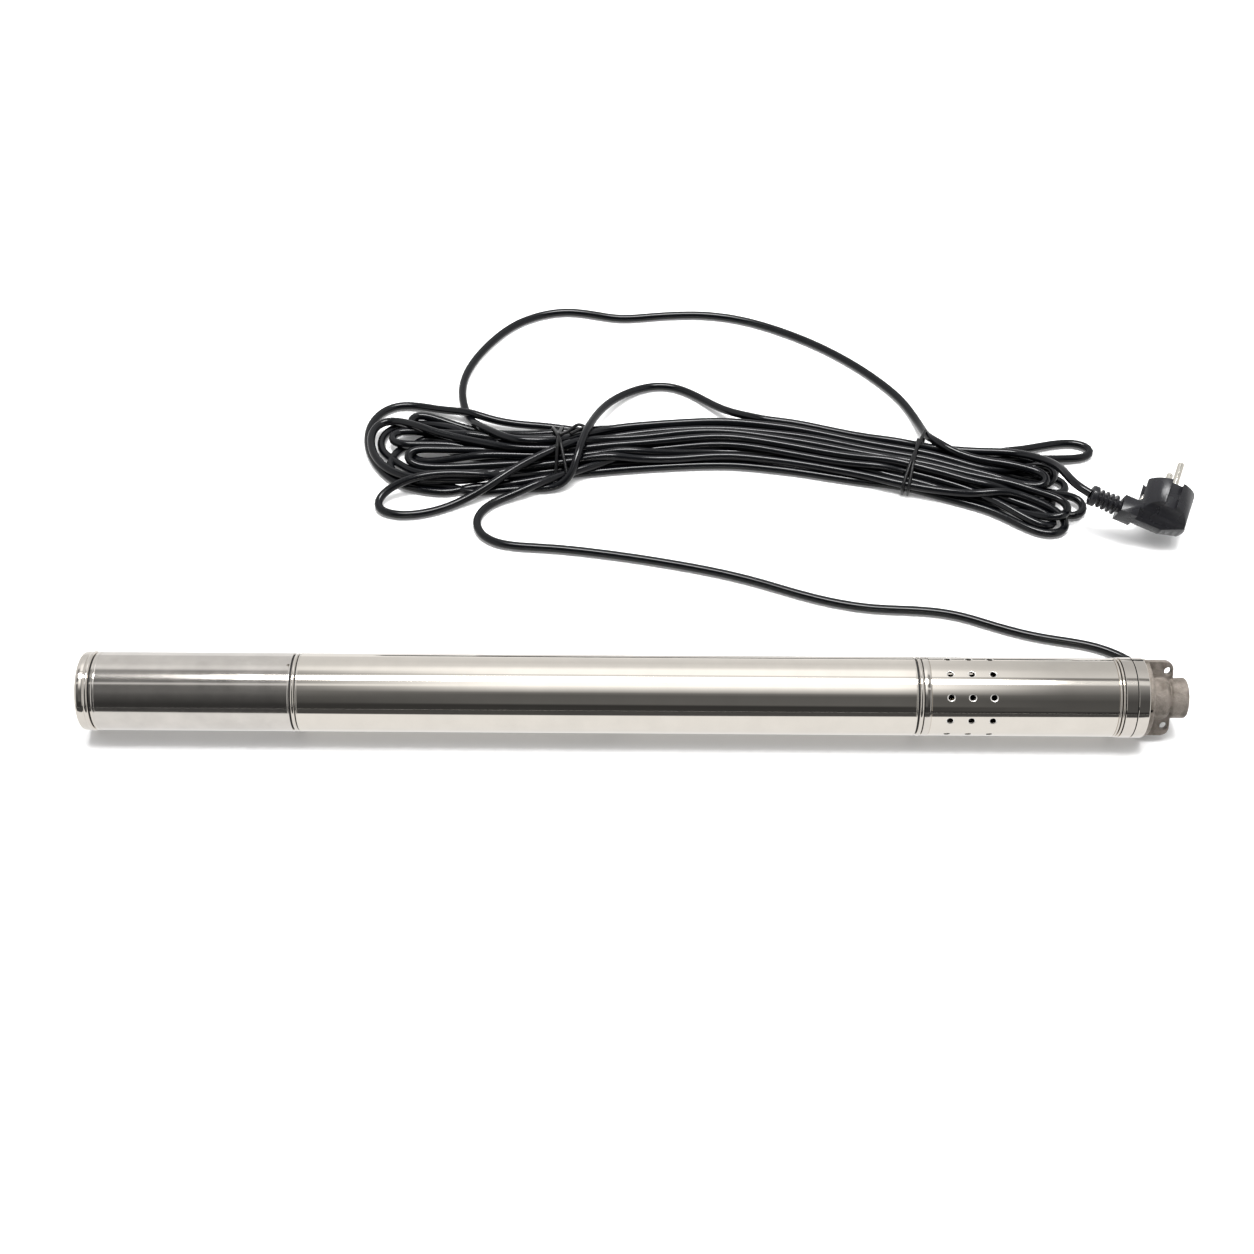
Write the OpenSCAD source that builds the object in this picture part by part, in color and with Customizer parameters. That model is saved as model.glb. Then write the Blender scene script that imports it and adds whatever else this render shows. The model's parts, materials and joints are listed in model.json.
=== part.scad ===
// Borehole submersible pump with a screw stage, lying on its side with its cable hank.
// +X runs along the pump towards the outlet, +Z is up, and the floor is at Z = 0.

/* [Tubes] */
// Outside diameter of the steel tubes
tube_d = 50; // [49:0.5:54]
// Wall of the steel tubes
tube_wall = 1; // [0.8:0.1:1.2]
// How far the beads and the collar stand proud of the tubes
bead_rise = 0.5; // [0.3:0.1:0.8]
// Radial clearance between pieces that sit inside each other
fit_gap = 0.05; // [0.02:0.01:0.08]

/* [Bottom cap] */
// Length of the plain skirt
cap_skirt_len = 5.6; // [5:0.1:8]
// Length of the rolled bead
cap_bead_len = 2.8; // [2:0.1:4]
// Length of the groove behind the bead
cap_groove_len = 1.2; // [0.8:0.1:2]
// Length of the thin ring that meets the tube
cap_rim_len = 1; // [0.8:0.1:1.6]
// Corner radius of the closed end
cap_corner_r = 1.8; // [1:0.1:3]
// Wall of the cap
cap_wall = 1.2; // [0.8:0.1:1.8]
// Depth of the dished end face
cap_dish = 0.6; // [0.3:0.1:1]

/* [Capacitor housing] */
// Length of the capacitor tube
housing_len = 124; // [115:1:150]
// Diameter of the capacitor can
capacitor_d = 35; // [30:0.5:38]
// Length of the capacitor can
capacitor_len = 70; // [50:1:75]
// Where the can starts, from the start of the tube
capacitor_start = 20; // [16:1:24]
// Diameter of the two internal leads
lead_d = 1.8; // [1.2:0.1:2.2]

/* [Joints between the tubes] */
// Visible length of the ring between the two tubes
joint_ring_len = 4; // [3.6:0.1:6]
// Length of each spigot inside a tube
spigot_len = 9; // [8:0.5:11]
// Wall of the spigots
spigot_wall = 3; // [2.6:0.1:3.4]
// Visible length of the band between motor and pump
band_len = 8.6; // [8:0.1:11]
// Wall of the band's spigots
band_wall = 2.7; // [2.2:0.1:2.8]
// Section diameter of the sealing rings
o_ring_d = 2; // [1.6:0.1:2.2]
// Diameter of the lock screw
lock_screw_d = 2; // [1.6:0.1:2.4]

/* [Motor] */
// Length of the motor tube
motor_len = 389.6; // [385:0.1:450]
// Length of the stator core
core_len = 234; // [200:1:236]
// Bore of the stator core
core_bore = 25; // [24:0.5:26]
// Air gap between rotor and stator
air_gap = 0.3; // [0.2:0.05:0.4]
// Number of stator slots
slots = 18; // [12:1:20]
// Length of an end winding
end_turn_len = 24; // [16:1:25]
// Diameter of the shaft in the rotor core
shaft_d = 14; // [13:0.5:15]
// Length of the lower end bell
lower_bell_len = 20; // [19:0.5:24]
// Length of the upper end bell
upper_bell_len = 40; // [40:0.5:44]

/* [Bearings] */
// Bore of the lower bearing
lower_bore_d = 10; // [9:0.5:10.5]
// Outside diameter of the lower bearing
lower_bearing_d = 26; // [26:0.5:28]
// Width of the lower bearing
lower_bearing_w = 8; // [7.5:0.5:8.5]
// Ball diameter of the lower bearing
lower_ball_d = 4.76; // [4.4:0.02:5]
// Bore of the upper bearing
upper_bore_d = 12; // [11.5:0.5:12.5]
// Outside diameter of the upper bearing
upper_bearing_d = 28; // [27.5:0.5:28.5]
// Width of the upper bearing
upper_bearing_w = 8; // [7.5:0.5:8.5]
// Ball diameter of the upper bearing
upper_ball_d = 4.76; // [4.4:0.02:5]
// Balls in each bearing
balls = 7; // [6:1:7]

/* [Screw stage] */
// Length of the perforated pump tube
pump_len = 117; // [117:1:150]
// Diameter of the screw's round section
screw_d = 12; // [11:0.25:12.5]
// Eccentricity of the screw
screw_offset = 2; // [1.6:0.1:2.2]
// Pitch of the screw
screw_pitch = 22; // [20:1:26]
// Turns of the screw inside the rubber stator
screw_turns = 3; // [2:0.5:3]
// Clearance all round the screw in the rubber stator
screw_gap = 0.35; // [0.3:0.05:0.5]
// Radius over the stator's steel sleeve
sleeve_r = 16; // [15.6:0.1:16.2]
// Wall of the stator's steel sleeve
sleeve_wall = 1.4; // [1:0.1:1.6]
// Diameter of the flexible shaft
flex_d = 7; // [6:0.5:8]

/* [Intake] */
// Diameter of an intake hole
intake_d = 4; // [3:0.5:5]
// Rows of intake holes round the tube
intake_rows = 10; // [6:2:12]
// Intake holes in each row
intake_count = 3; // [2:1:3]
// Spacing of the intake holes along a row
intake_pitch = 13.4; // [10:0.1:14]
// First intake hole, from the start of the pump tube
intake_start = 11.9; // [11:0.1:13]

/* [Discharge head] */
// Length of the collar
collar_len = 19.2; // [18:0.1:24]
// Wall of the collar's spigot
collar_wall = 0.7; // [0.6:0.05:0.8]
// Length of the cast head in front of the collar
head_len = 27.9; // [27:0.1:34]
// Thickness of the head's flange
flange_len = 3; // [2.5:0.1:4]
// Outside diameter of the dome
dome_d = 27.5; // [27:0.1:29]
// Length of the dome
dome_len = 17.2; // [16:0.1:18]
// Outside diameter of the outlet neck
neck_d = 25.8; // [25:0.1:26.4]
// Bore of the outlet's G 1/2 thread
outlet_d = 18.63; // [18.4:0.01:19]
// Length of the outlet's thread
outlet_len = 14; // [12:0.5:15]
// Thickness of a lug
lug_thick = 5; // [4:0.5:7]
// Reach of a lug from the collar
lug_len = 19.2; // [18:0.1:22]
// Diameter of the lug eyes
eye_d = 4.8; // [4:0.1:5.5]
// Distance of a lug eye from the pump's axis
eye_offset = 18.2; // [17.6:0.1:18.6]
// Corner radius of a lug
lug_corner_r = 5.3; // [4:0.1:5.5]

/* [Cable and plug] */
// Diameter of the supply cable
cable_d = 6; // [5.4:0.1:6.2]
// Height of the hank
hank_h = 17; // [15:1:20]
// Diameter of the plug's face
plug_d = 36; // [35:0.5:38]
// Height of the plug's body
plug_h = 33; // [31:0.5:35]
// Diameter of a plug pin
pin_d = 4.8; // [4.7:0.05:4.9]
// Free length of a plug pin
pin_len = 19; // [18:0.5:20]
// Spacing of the plug pins
pin_pitch = 19; // [18:0.5:20]

/* [Hidden] */
$fn = 64;
eps = 0.01;
cut = 1;

steel = [0.78, 0.78, 0.77];
satin_steel = [0.7, 0.7, 0.69];
cast_metal = [0.72, 0.67, 0.62];
brass = [0.8, 0.66, 0.38];
copper = [0.72, 0.42, 0.25];
rubber = [0.08, 0.08, 0.09];
plastic = [0.12, 0.12, 0.13];
white_plastic = [0.9, 0.89, 0.85];
laminations = [0.45, 0.46, 0.48];

tube_r = tube_d / 2;
tube_in_r = tube_r - tube_wall;
bead_r = tube_r + bead_rise;
seat_r = tube_in_r - fit_gap;
axis_z = bead_r;

// Stations along the pump, from the closed end to the outlet
cap_len = cap_skirt_len + cap_bead_len + cap_groove_len + cap_rim_len;
pump_total = cap_len + housing_len + joint_ring_len + motor_len + band_len + pump_len
    + collar_len + head_len;
x_cap = -pump_total / 2;
x_housing = x_cap + cap_len;
x_ring = x_housing + housing_len;
x_motor = x_ring + joint_ring_len;
x_band = x_motor + motor_len;
x_pump = x_band + band_len;
x_collar = x_pump + pump_len;
x_head = x_collar + collar_len;
x_outlet = x_head + head_len;

// Stations inside the motor
x_lower_bell = x_motor + spigot_len;
x_lower_face = x_lower_bell + lower_bell_len;
x_lower_bearing = x_lower_face - 1 - lower_bearing_w;
x_upper_bell = x_band - spigot_len - upper_bell_len;
x_upper_end = x_upper_bell + upper_bell_len;
x_upper_bearing = x_upper_bell + 1;
x_upper_web = x_upper_bearing + upper_bearing_w;
x_core = (x_lower_face + x_upper_bell - core_len) / 2 + 1;
x_core_end = x_core + core_len;
seal_shaft_d = upper_bore_d - 1;
end_shaft_d = seal_shaft_d - 1;
oil_seal_w = 6;
oil_seal_r = 11;
x_oil_seal = x_upper_web + 4;
x_chamber = x_oil_seal + oil_seal_w;
chamber_r = 13.5;
cover_len = 6;
x_cover = x_upper_end - cover_len;
x_upper_ring = x_upper_end - 12;
seat_len = 4.4;
seat_out_r = 10;
seat_in_r = 6.2;
seal_ring_len = 5.9;
x_seal_ring = x_cover - 0.1 - seal_ring_len;

// Stations of the drive and the screw
x_coupling = x_band + 0.5;
coupling_len = 22;
coupling_r = 9;
shaft_end = 11;
flex_socket = 9;
x_flex = x_coupling + coupling_len - flex_socket;
gasket_len = 1.5;
x_sleeve_end = x_head - 4 - gasket_len;
x_stator_end = x_sleeve_end - 4;
stator_len = screw_pitch * screw_turns;
x_stator = x_stator_end - stator_len;
x_sleeve = x_stator - 4;
screw_lead_in = 10;
x_screw = x_stator - screw_lead_in;
screw_len = stator_len + screw_lead_in + 3;
screw_neck = 12;
x_neck = x_screw - screw_neck;
screw_r = screw_d / 2;
flex_r = flex_d / 2;
flex_end_len = 10;

// Directions round the axis, from +Y towards +Z
view_clock = 132;
lug_clock = 57;
gland_clock = -65;
lead_clock = -65;
lock_clock = 88;

// Radii at which the cables run
gland_r = 19.9;
bush_r = 18.1;
cable_r = cable_d / 2;
cable_hole_r = cable_r + 0.2;
gland_y = gland_r * cos(gland_clock);
gland_z = axis_z + gland_r * sin(gland_clock);

// The cable's route over the floor, chosen by hand: the lead, the large loop, the arc
// that crosses the hank, and the tail to the plug
lead_route = [[x_head + flange_len + fit_gap, gland_y, gland_z], [335, gland_y, gland_z],
    [346, 11.6, 7.4], [354.8, 20.4, 7], [358, 32.4, 6], [355, 44.5, 4.8], [346, 53, 3.6],
    [334, 57.5, 3], [318, 61, 3], [297, 66, 3], [271, 71, 3], [245, 80, 3], [219, 91, 3],
    [192, 95, 3], [165, 96, 3], [138, 101, 3], [111, 110, 3], [84, 121, 3], [56, 130, 3],
    [28, 137, 3], [0, 143, 3], [-28, 148, 3], [-57, 152, 3], [-86, 154, 3], [-100, 157, 3],
    [-111, 166, 3], [-115, 178, 3], [-111, 190, 3], [-102, 199, 3], [-89, 205, 3],
    [-74, 212, 4], [-62, 221, 6], [-52, 233, 9]];
loop_route = [[-76, 262, 16], [-100, 270, 13], [-119, 284, 8], [-131, 304, 4],
    [-134, 325, 3], [-130, 347, 3], [-117, 375, 3], [-94, 404, 3], [-62, 418, 3],
    [-36, 415, 3], [-13, 409, 3], [16, 413, 3], [51, 415, 3], [83, 409, 3],
    [114, 395, 3], [145, 375, 3], [174, 349, 3], [199, 320, 3], [211, 296, 4],
    [216, 272, 8], [214, 261, 11], [211, 250, 13]];
arc_route = [[-36, 269, 14], [-30, 284, 13], [-22, 298, 8], [-9, 311, 3], [5, 319, 3], [20, 321, 3],
    [35, 316, 3], [48, 305, 4], [58, 295, 6], [64, 284, 8]];
tail_route = [[282, 240, 14.5], [291, 234, 17.5], [297.5, 227, 20.5], [301.5, 220, 23.5],
    [304, 213, 27], [305, 206, 30], [305.2, 200.5, 32.3], [305.6, 195, 34], [306.8, 190, 34.9],
    [308.9, 185.9, 34.9], [311.9, 182.9, 34.3], [315.3, 181, 33.6], [319, 179.9, 32.6]];
// The hank's middle line and its half width: x, y, half width
hank_spine = [[-152, 249, 45], [-86, 246, 29], [-56, 249, 24], [3, 257, 24],
    [63, 264, 24], [123, 256, 24], [181, 240, 21], [206, 235, 21], [240, 226, 27], [279, 213, 38]];

// The plug lies on its side: where the middle of its back is, and how it is turned
plug_place = [364.6, 159.1, 16.8];
plug_turns = [-70, 15, -17];
plug_neck_len = 30;
plug_neck_w = 17;
plug_neck_h = 12.5;
plug_relief_len = 22;
plug_cable_z = plug_neck_h / 2;

function unit(v) = v / norm(v);
function tangent(p, i) = unit(p[min(i + 1, len(p) - 1)] - p[max(i - 1, 0)]);
function ring_of(p, i, r, n, ref) =
    let (t = tangent(p, i), s = unit(cross(t, ref)), u = cross(s, t))
    [for (k = [0 : n - 1]) p[i] + r * (cos(360 * k / n) * s + sin(360 * k / n) * u)];
function blend_at(a, b, c, d, t) =
    0.5 * (2 * b + (c - a) * t + (2 * a - 5 * b + 4 * c - d) * t * t
    + (3 * b - 3 * c + d - a) * t * t * t);
function smooth(p, m) = let (last = len(p) - 1)
    [for (i = [0 : last - 1], k = [0 : m - 1])
        blend_at(p[max(i - 1, 0)], p[i], p[i + 1], p[min(i + 2, last)], k / m), p[last]];
function arc(cx, cy, r, from, to, n = 6) =
    [for (i = [0 : n]) let (a = from + (to - from) * i / n) [cx + r * cos(a), cy + r * sin(a)]];
// A bead's outline between two stations on a cylinder of radius r
function bead(r, rise, from, to, n = 8) =
    [for (i = [0 : n]) [r + rise * sin(180 * i / n), from + (to - from) * (1 - cos(180 * i / n)) / 2]];

// A tube of n sides swept along the points p
module swept(p, r, n = 8, ref = [0, 0, 1]) {
    last = len(p) - 1;
    points = [for (i = [0 : last]) each ring_of(p, i, r, n, ref)];
    walls = [for (i = [0 : last - 1], k = [0 : n - 1])
        let (a = i * n + k, b = i * n + (k + 1) % n) each [[a, b, b + n], [a, b + n, a + n]]];
    caps = [[for (k = [n - 1 : -1 : 0]) k], [for (k = [0 : n - 1]) last * n + k]];
    polyhedron(points, concat(walls, caps));
}

module on_axis(x) {
    translate([x, 0, axis_z]) rotate([0, 90, 0]) children();
}

// Turns its children's local +X to a direction round the axis
module clock(angle) {
    rotate([0, 0, angle + 90]) children();
}

// A turned piece: the outline's points are [radius, distance from x]
module turned(x, outline) {
    on_axis(x) rotate_extrude() polygon(outline);
}

module pipe(x, length, r, bore) {
    on_axis(x) difference() {
        cylinder(h = length, r = r);
        translate([0, 0, -cut]) cylinder(h = length + 2 * cut, r = bore);
    }
}

module rod(x, length, r) {
    on_axis(x) cylinder(h = length, r = r);
}

// A sealing ring of the section that fills its groove under a bore of radius r
module o_ring(x, r) {
    section = o_ring_d / 2 - fit_gap;
    on_axis(x) rotate_extrude() translate([r - o_ring_d / 2, 0]) circle(r = section, $fn = 32);
}

// The groove of a sealing ring, cut into a spigot
module o_ring_groove(x, r) {
    pipe(x - o_ring_d * 0.6, o_ring_d * 1.2, r + cut, r - o_ring_d);
}

module bottom_cap() {
    bead_from = cap_skirt_len;
    groove_from = bead_from + cap_bead_len;
    rim_from = groove_from + cap_groove_len;
    outline = concat(
        [[0, cap_dish], [tube_r - 6, cap_dish], [tube_r - 5, 0]],
        arc(tube_r - cap_corner_r, cap_corner_r, cap_corner_r, -90, 0),
        bead(tube_r, bead_rise, bead_from, groove_from),
        [[tube_r - 0.7, groove_from], [tube_r - 0.7, rim_from], [tube_r, rim_from],
        [tube_r, cap_len], [seat_r, cap_len], [seat_r, cap_len + spigot_len],
        [seat_r - cap_wall, cap_len + spigot_len],
        [seat_r - cap_wall - o_ring_d / 2, cap_len + spigot_len * 0.7],
        [seat_r - cap_wall - o_ring_d, cap_wall + 2], [0, cap_wall + 2]]);
    color(satin_steel) difference() {
        turned(x_cap, outline);
        o_ring_groove(x_housing + spigot_len / 2, tube_in_r);
    }
}

module housing_o_rings() {
    color(rubber) {
        o_ring(x_housing + spigot_len / 2, tube_in_r);
        o_ring(x_ring - spigot_len / 2, tube_in_r);
        o_ring(x_motor + spigot_len / 2, tube_in_r);
    }
}

// A steel tube with a rolled lip at each end
module lipped_tube(x, length, left_lip, right_lip) {
    lip = bead_rise * 0.4;
    outline = concat(
        [[tube_in_r, 0]],
        bead(tube_r, lip, 0, left_lip),
        bead(tube_r, lip, length - right_lip, length),
        [[tube_in_r, length]]);
    turned(x, outline);
}

module capacitor_housing() {
    color(steel) difference() {
        lipped_tube(x_housing, housing_len, 1.9, 1);
        lock_screw_cut();
    }
}

tab_r = 12;
tab_len = 9;

module capacitor() {
    color(white_plastic) {
        rod(x_housing + capacitor_start, capacitor_len, capacitor_d / 2);
        rod(x_housing + capacitor_start + capacitor_len, 3, capacitor_d / 2 - 1.5);
        on_axis(x_housing + capacitor_start + capacitor_len + 2)
            for (side = [-1, 1]) clock(lead_clock)
                translate([tab_r - 0.4, side * 4 - 3, 0]) cube([0.8, 6, tab_len]);
    }
}

module capacitor_cradles() {
    color(plastic) for (x = [8, capacitor_len - 16])
        on_axis(x_housing + capacitor_start + x) difference() {
            cylinder(h = 8, r = seat_r);
            translate([0, 0, -cut]) cylinder(h = 8 + 2 * cut, r = capacitor_d / 2 + fit_gap);
            for (turn = [0 : 120 : 240]) rotate([0, 0, turn])
                translate([seat_r - 2.5, -5, -cut]) cube([5, 10, 8 + 2 * cut]);
        }
}

module capacitor_leads() {
    start = x_housing + capacitor_start + capacitor_len + tab_len + 2 + lead_d / 2;
    color(copper) for (side = [-1, 1]) {
        side_step = side * lead_d * 0.55;
        path = [for (s = [[0, tab_r, 4], [5, tab_r + 0.5, 3.4],
            [14, (tab_r + bush_r) / 2, 1.6], [22, bush_r, 1],
            [x_core - end_turn_len - 0.6 - start, bush_r, 1]])
            [start + s[0],
            s[1] * cos(lead_clock) - side_step * s[2] * sin(lead_clock),
            axis_z + s[1] * sin(lead_clock) + side_step * s[2] * cos(lead_clock)]];
        swept(path, lead_d / 2);
    }
}

module joint_ring() {
    side = (joint_ring_len - 2.4) / 2;
    outline = concat(
        [[seat_r - spigot_wall, -spigot_len], [seat_r, -spigot_len], [seat_r, 0],
        [tube_r - 0.6, 0], [tube_r - 0.6, side], [tube_r - 0.3, side]],
        arc(tube_r - 0.3, side + 0.3, 0.3, -90, 0, 3),
        arc(tube_r - 0.3, side + 2.1, 0.3, 0, 90, 3),
        [[tube_r - 0.6, side + 2.4], [tube_r - 0.6, joint_ring_len],
        [seat_r, joint_ring_len], [seat_r, joint_ring_len + spigot_len],
        [seat_r - spigot_wall, joint_ring_len + spigot_len]]);
    color(satin_steel) difference() {
        turned(x_ring, outline);
        o_ring_groove(x_ring - spigot_len / 2, tube_in_r);
        o_ring_groove(x_motor + spigot_len / 2, tube_in_r);
        lock_screw_cut();
    }
}

// The tapped hole of the lock screw, through the tube's lip and into the ring
module lock_screw_cut() {
    on_axis(x_ring - lock_screw_d * 0.7) clock(lock_clock)
        rotate([0, 90, 0]) translate([0, 0, tube_in_r - 1.6])
            cylinder(h = 6, r = lock_screw_d / 2 + fit_gap);
}

module lock_screw() {
    color(plastic) on_axis(x_ring - lock_screw_d * 0.7) clock(lock_clock)
        rotate([0, 90, 0]) translate([0, 0, tube_in_r - 1.6]) difference() {
            cylinder(h = 2.1, r = lock_screw_d / 2);
            translate([0, 0, 1.2]) cylinder(h = 2, r = lock_screw_d * 0.27, $fn = 6);
        }
}

module motor_shell() {
    color(steel) lipped_tube(x_motor, motor_len, 1, 1);
}

module lower_end_bell() {
    pocket = lower_bearing_w + 1;
    nose_r = lower_bore_d / 2 + 3.5;
    outline = [[0, 0], [seat_r, 0], [seat_r, lower_bell_len],
        [lower_bearing_d / 2 + fit_gap, lower_bell_len],
        [lower_bearing_d / 2 + fit_gap, lower_bell_len - pocket],
        [nose_r, lower_bell_len - pocket], [nose_r, 4], [0, 4]];
    color(cast_metal) difference() {
        turned(x_lower_bell, outline);
        bell_hole(x_lower_bell, lower_bell_len, lead_clock, bush_r, 3 + fit_gap);
        bell_hole(x_lower_bell, lower_bell_len, lead_clock + 180, bush_r, 2.5 + fit_gap);
    }
}

module bell_hole(x, length, angle, radius, r) {
    on_axis(x - cut) clock(angle) translate([radius, 0, 0])
        cylinder(h = length + 2 * cut, r = r);
}

module lead_bush() {
    color(rubber) on_axis(x_lower_bell) clock(lead_clock) translate([bush_r, 0, 0])
        difference() {
            cylinder(h = 8, r = 3);
            for (side = [-1, 1]) translate([0, side * lead_d * 0.55, -cut])
                cylinder(h = 8 + 2 * cut, r = lead_d / 2 + fit_gap);
        }
}

module oil_plug() {
    color(brass) on_axis(x_lower_bell) clock(lead_clock + 180) translate([bush_r, 0, 0])
        difference() {
            cylinder(h = 8, r = 2.5);
            translate([0, 0, -cut]) cylinder(h = 3.5, r = 1.5, $fn = 6);
        }
}

slot_bottom_r = 20.4;
slot_mouth_r = core_bore / 2 + 1.2;

module slot_shape(width, from, to) {
    translate([from, -width / 2]) square([to - from, width]);
}

module stator_core() {
    color(laminations) on_axis(x_core) linear_extrude(core_len) difference() {
        circle(r = seat_r);
        circle(r = core_bore / 2);
        for (i = [0 : slots - 1]) rotate(i * 360 / slots) {
            slot_shape(1.4, core_bore / 2 - cut, slot_mouth_r + eps);
            slot_shape(3, slot_mouth_r, slot_bottom_r);
        }
    }
}

module windings() {
    bar_len = core_len + 2;
    turn_in_r = core_bore / 2 + 2.2;
    turn_out_r = seat_r - 2;
    round_r = 3.2;
    turn = concat(
        [[turn_in_r, 0]],
        [[turn_out_r, 0]],
        arc(turn_out_r - round_r, end_turn_len - round_r, round_r, 0, 90),
        arc(turn_in_r + round_r, end_turn_len - round_r, round_r, 90, 180));
    color(copper) {
        turned(x_core_end + 0.5, turn);
        on_axis(x_core - 0.5) mirror([0, 0, 1]) rotate_extrude() polygon(turn);
        on_axis(x_core - 1) linear_extrude(bar_len) for (i = [0 : slots - 1])
            rotate(i * 360 / slots) slot_shape(2.8, slot_mouth_r + 0.2, slot_bottom_r - 0.1);
    }
}

module thermal_protector() {
    color(plastic) on_axis(x_core_end + end_turn_len + 0.6) clock(90)
        translate([bush_r, 0, 0]) {
            cylinder(h = 9, r = 3);
            translate([0, 0, 9]) cylinder(h = 3, r1 = 3, r2 = 1.5);
        }
}

module upper_end_bell() {
    web = x_upper_web - x_upper_bell;
    chamber = x_chamber - x_upper_bell;
    web_r = upper_bore_d / 2 + 3.3;
    outline = [[upper_bearing_d / 2 + fit_gap, 0], [seat_r, 0], [seat_r, upper_bell_len],
        [chamber_r, upper_bell_len], [chamber_r, chamber], [oil_seal_r + fit_gap, chamber],
        [oil_seal_r + fit_gap, chamber - oil_seal_w], [web_r, chamber - oil_seal_w],
        [web_r, web], [upper_bearing_d / 2 + fit_gap, web]];
    color(cast_metal) difference() {
        turned(x_upper_bell, outline);
        bell_hole(x_upper_bell, upper_bell_len, gland_clock, bush_r, cable_hole_r);
        bell_hole(x_upper_end - 7, 7, gland_clock, bush_r, cable_r + 1.3 + fit_gap);
        o_ring_groove(x_upper_ring, tube_in_r);
    }
}

module oil_seal() {
    lip_r = upper_bore_d / 2 + fit_gap;
    outline = [[lip_r, 1.6], [lip_r + 0.6, 1], [oil_seal_r - 2, 1], [oil_seal_r - 2, 0],
        [oil_seal_r, 0], [oil_seal_r, oil_seal_w - 0.4], [lip_r + 2, oil_seal_w - 0.4],
        [lip_r + 2, oil_seal_w - 2], [lip_r, oil_seal_w - 3]];
    color(rubber) turned(x_oil_seal, outline);
}

module seal_cover() {
    outline = [[seat_out_r + fit_gap, 0], [chamber_r - fit_gap, 0],
        [chamber_r - fit_gap, cover_len], [seat_in_r, cover_len],
        [seat_in_r, seat_len + 0.1], [seat_out_r + fit_gap, seat_len + 0.1]];
    color(satin_steel) turned(x_cover, outline);
}

module seal_seat() {
    color(white_plastic) pipe(x_cover, seat_len, seat_out_r, seat_in_r);
}

module seal_ring() {
    outline = [[seal_shaft_d / 2 + fit_gap, 0], [9, 0], [9, 1.5], [seat_out_r - 0.4, 1.5],
        [seat_out_r - 0.4, seal_ring_len - 1.2], [seat_out_r - 1.2, seal_ring_len],
        [seal_shaft_d / 2 + fit_gap, seal_ring_len]];
    color([0.2, 0.2, 0.21]) turned(x_seal_ring, outline);
}

module seal_spring() {
    wire_r = 0.5;
    coil_r = seal_shaft_d / 2 + 1.4;
    turns = 3;
    steps = 14;
    from = x_chamber + 0.8;
    length = x_seal_ring - from - wire_r - fit_gap;
    path = [for (i = [0 : turns * steps]) let (a = 360 * i / steps)
        [from + length * i / (turns * steps), coil_r * cos(a), axis_z + coil_r * sin(a)]];
    color(steel) swept(path, wire_r, 6, [1, 0, 0]);
}

module cable_bush() {
    color(rubber) on_axis(x_upper_end - 6) clock(gland_clock) translate([bush_r, 0, 0])
        difference() {
            cylinder(h = 6, r = cable_r + 1.3);
            translate([0, 0, -cut]) cylinder(h = 6 + 2 * cut, r = cable_r + fit_gap);
        }
}

function ball_circle(bore, outer) = (bore + outer) / 4;

// One race of a ball bearing: the ring between two radii, less the balls' track
module race(x, width, r, bore, ball_r, track_r) {
    on_axis(x) rotate_extrude() difference() {
        translate([bore, 0]) square([r - bore, width]);
        translate([track_r, width / 2]) circle(r = ball_r + 0.04);
    }
}

module bearing_outer(x, bore, outer, width, ball) {
    race(x, width, outer / 2, ball_circle(bore, outer) + ball * 0.24, ball / 2, ball_circle(bore, outer));
}

module bearing_inner(x, bore, outer, width, ball) {
    race(x, width, ball_circle(bore, outer) - ball * 0.24, bore / 2 + fit_gap, ball / 2,
        ball_circle(bore, outer));
}

module bearing_balls(x, bore, outer, width, ball) {
    on_axis(x) for (i = [0 : balls - 1]) rotate([0, 0, i * 360 / balls])
        translate([ball_circle(bore, outer), 0, width / 2]) sphere(r = ball / 2);
}

module bearing_cage(x, bore, outer, width, ball) {
    side = (width - ball - 1.4) / 2;
    difference() {
        pipe(x + side, width - 2 * side, ball_circle(bore, outer) + ball * 0.15,
            ball_circle(bore, outer) - ball * 0.15);
        on_axis(x) for (i = [0 : balls - 1]) rotate([0, 0, i * 360 / balls])
            translate([ball_circle(bore, outer) - ball / 2, 0, width / 2]) rotate([0, 90, 0])
                cylinder(h = ball, r = ball / 2 + 0.12);
    }
}

module lower_bearing_outer() {
    color(steel) bearing_outer(x_lower_bearing, lower_bore_d, lower_bearing_d, lower_bearing_w, lower_ball_d);
}

module lower_bearing_inner() {
    color(steel) bearing_inner(x_lower_bearing, lower_bore_d, lower_bearing_d, lower_bearing_w, lower_ball_d);
}

module lower_bearing_balls() {
    color(steel) bearing_balls(x_lower_bearing, lower_bore_d, lower_bearing_d, lower_bearing_w, lower_ball_d);
}

module lower_bearing_cage() {
    color(brass) bearing_cage(x_lower_bearing, lower_bore_d, lower_bearing_d, lower_bearing_w, lower_ball_d);
}

module upper_bearing_outer() {
    color(steel) bearing_outer(x_upper_bearing, upper_bore_d, upper_bearing_d, upper_bearing_w, upper_ball_d);
}

module upper_bearing_inner() {
    color(steel) bearing_inner(x_upper_bearing, upper_bore_d, upper_bearing_d, upper_bearing_w, upper_ball_d);
}

module upper_bearing_balls() {
    color(steel) bearing_balls(x_upper_bearing, upper_bore_d, upper_bearing_d, upper_bearing_w, upper_ball_d);
}

module upper_bearing_cage() {
    color(brass) bearing_cage(x_upper_bearing, upper_bore_d, upper_bearing_d, upper_bearing_w, upper_ball_d);
}

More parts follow.
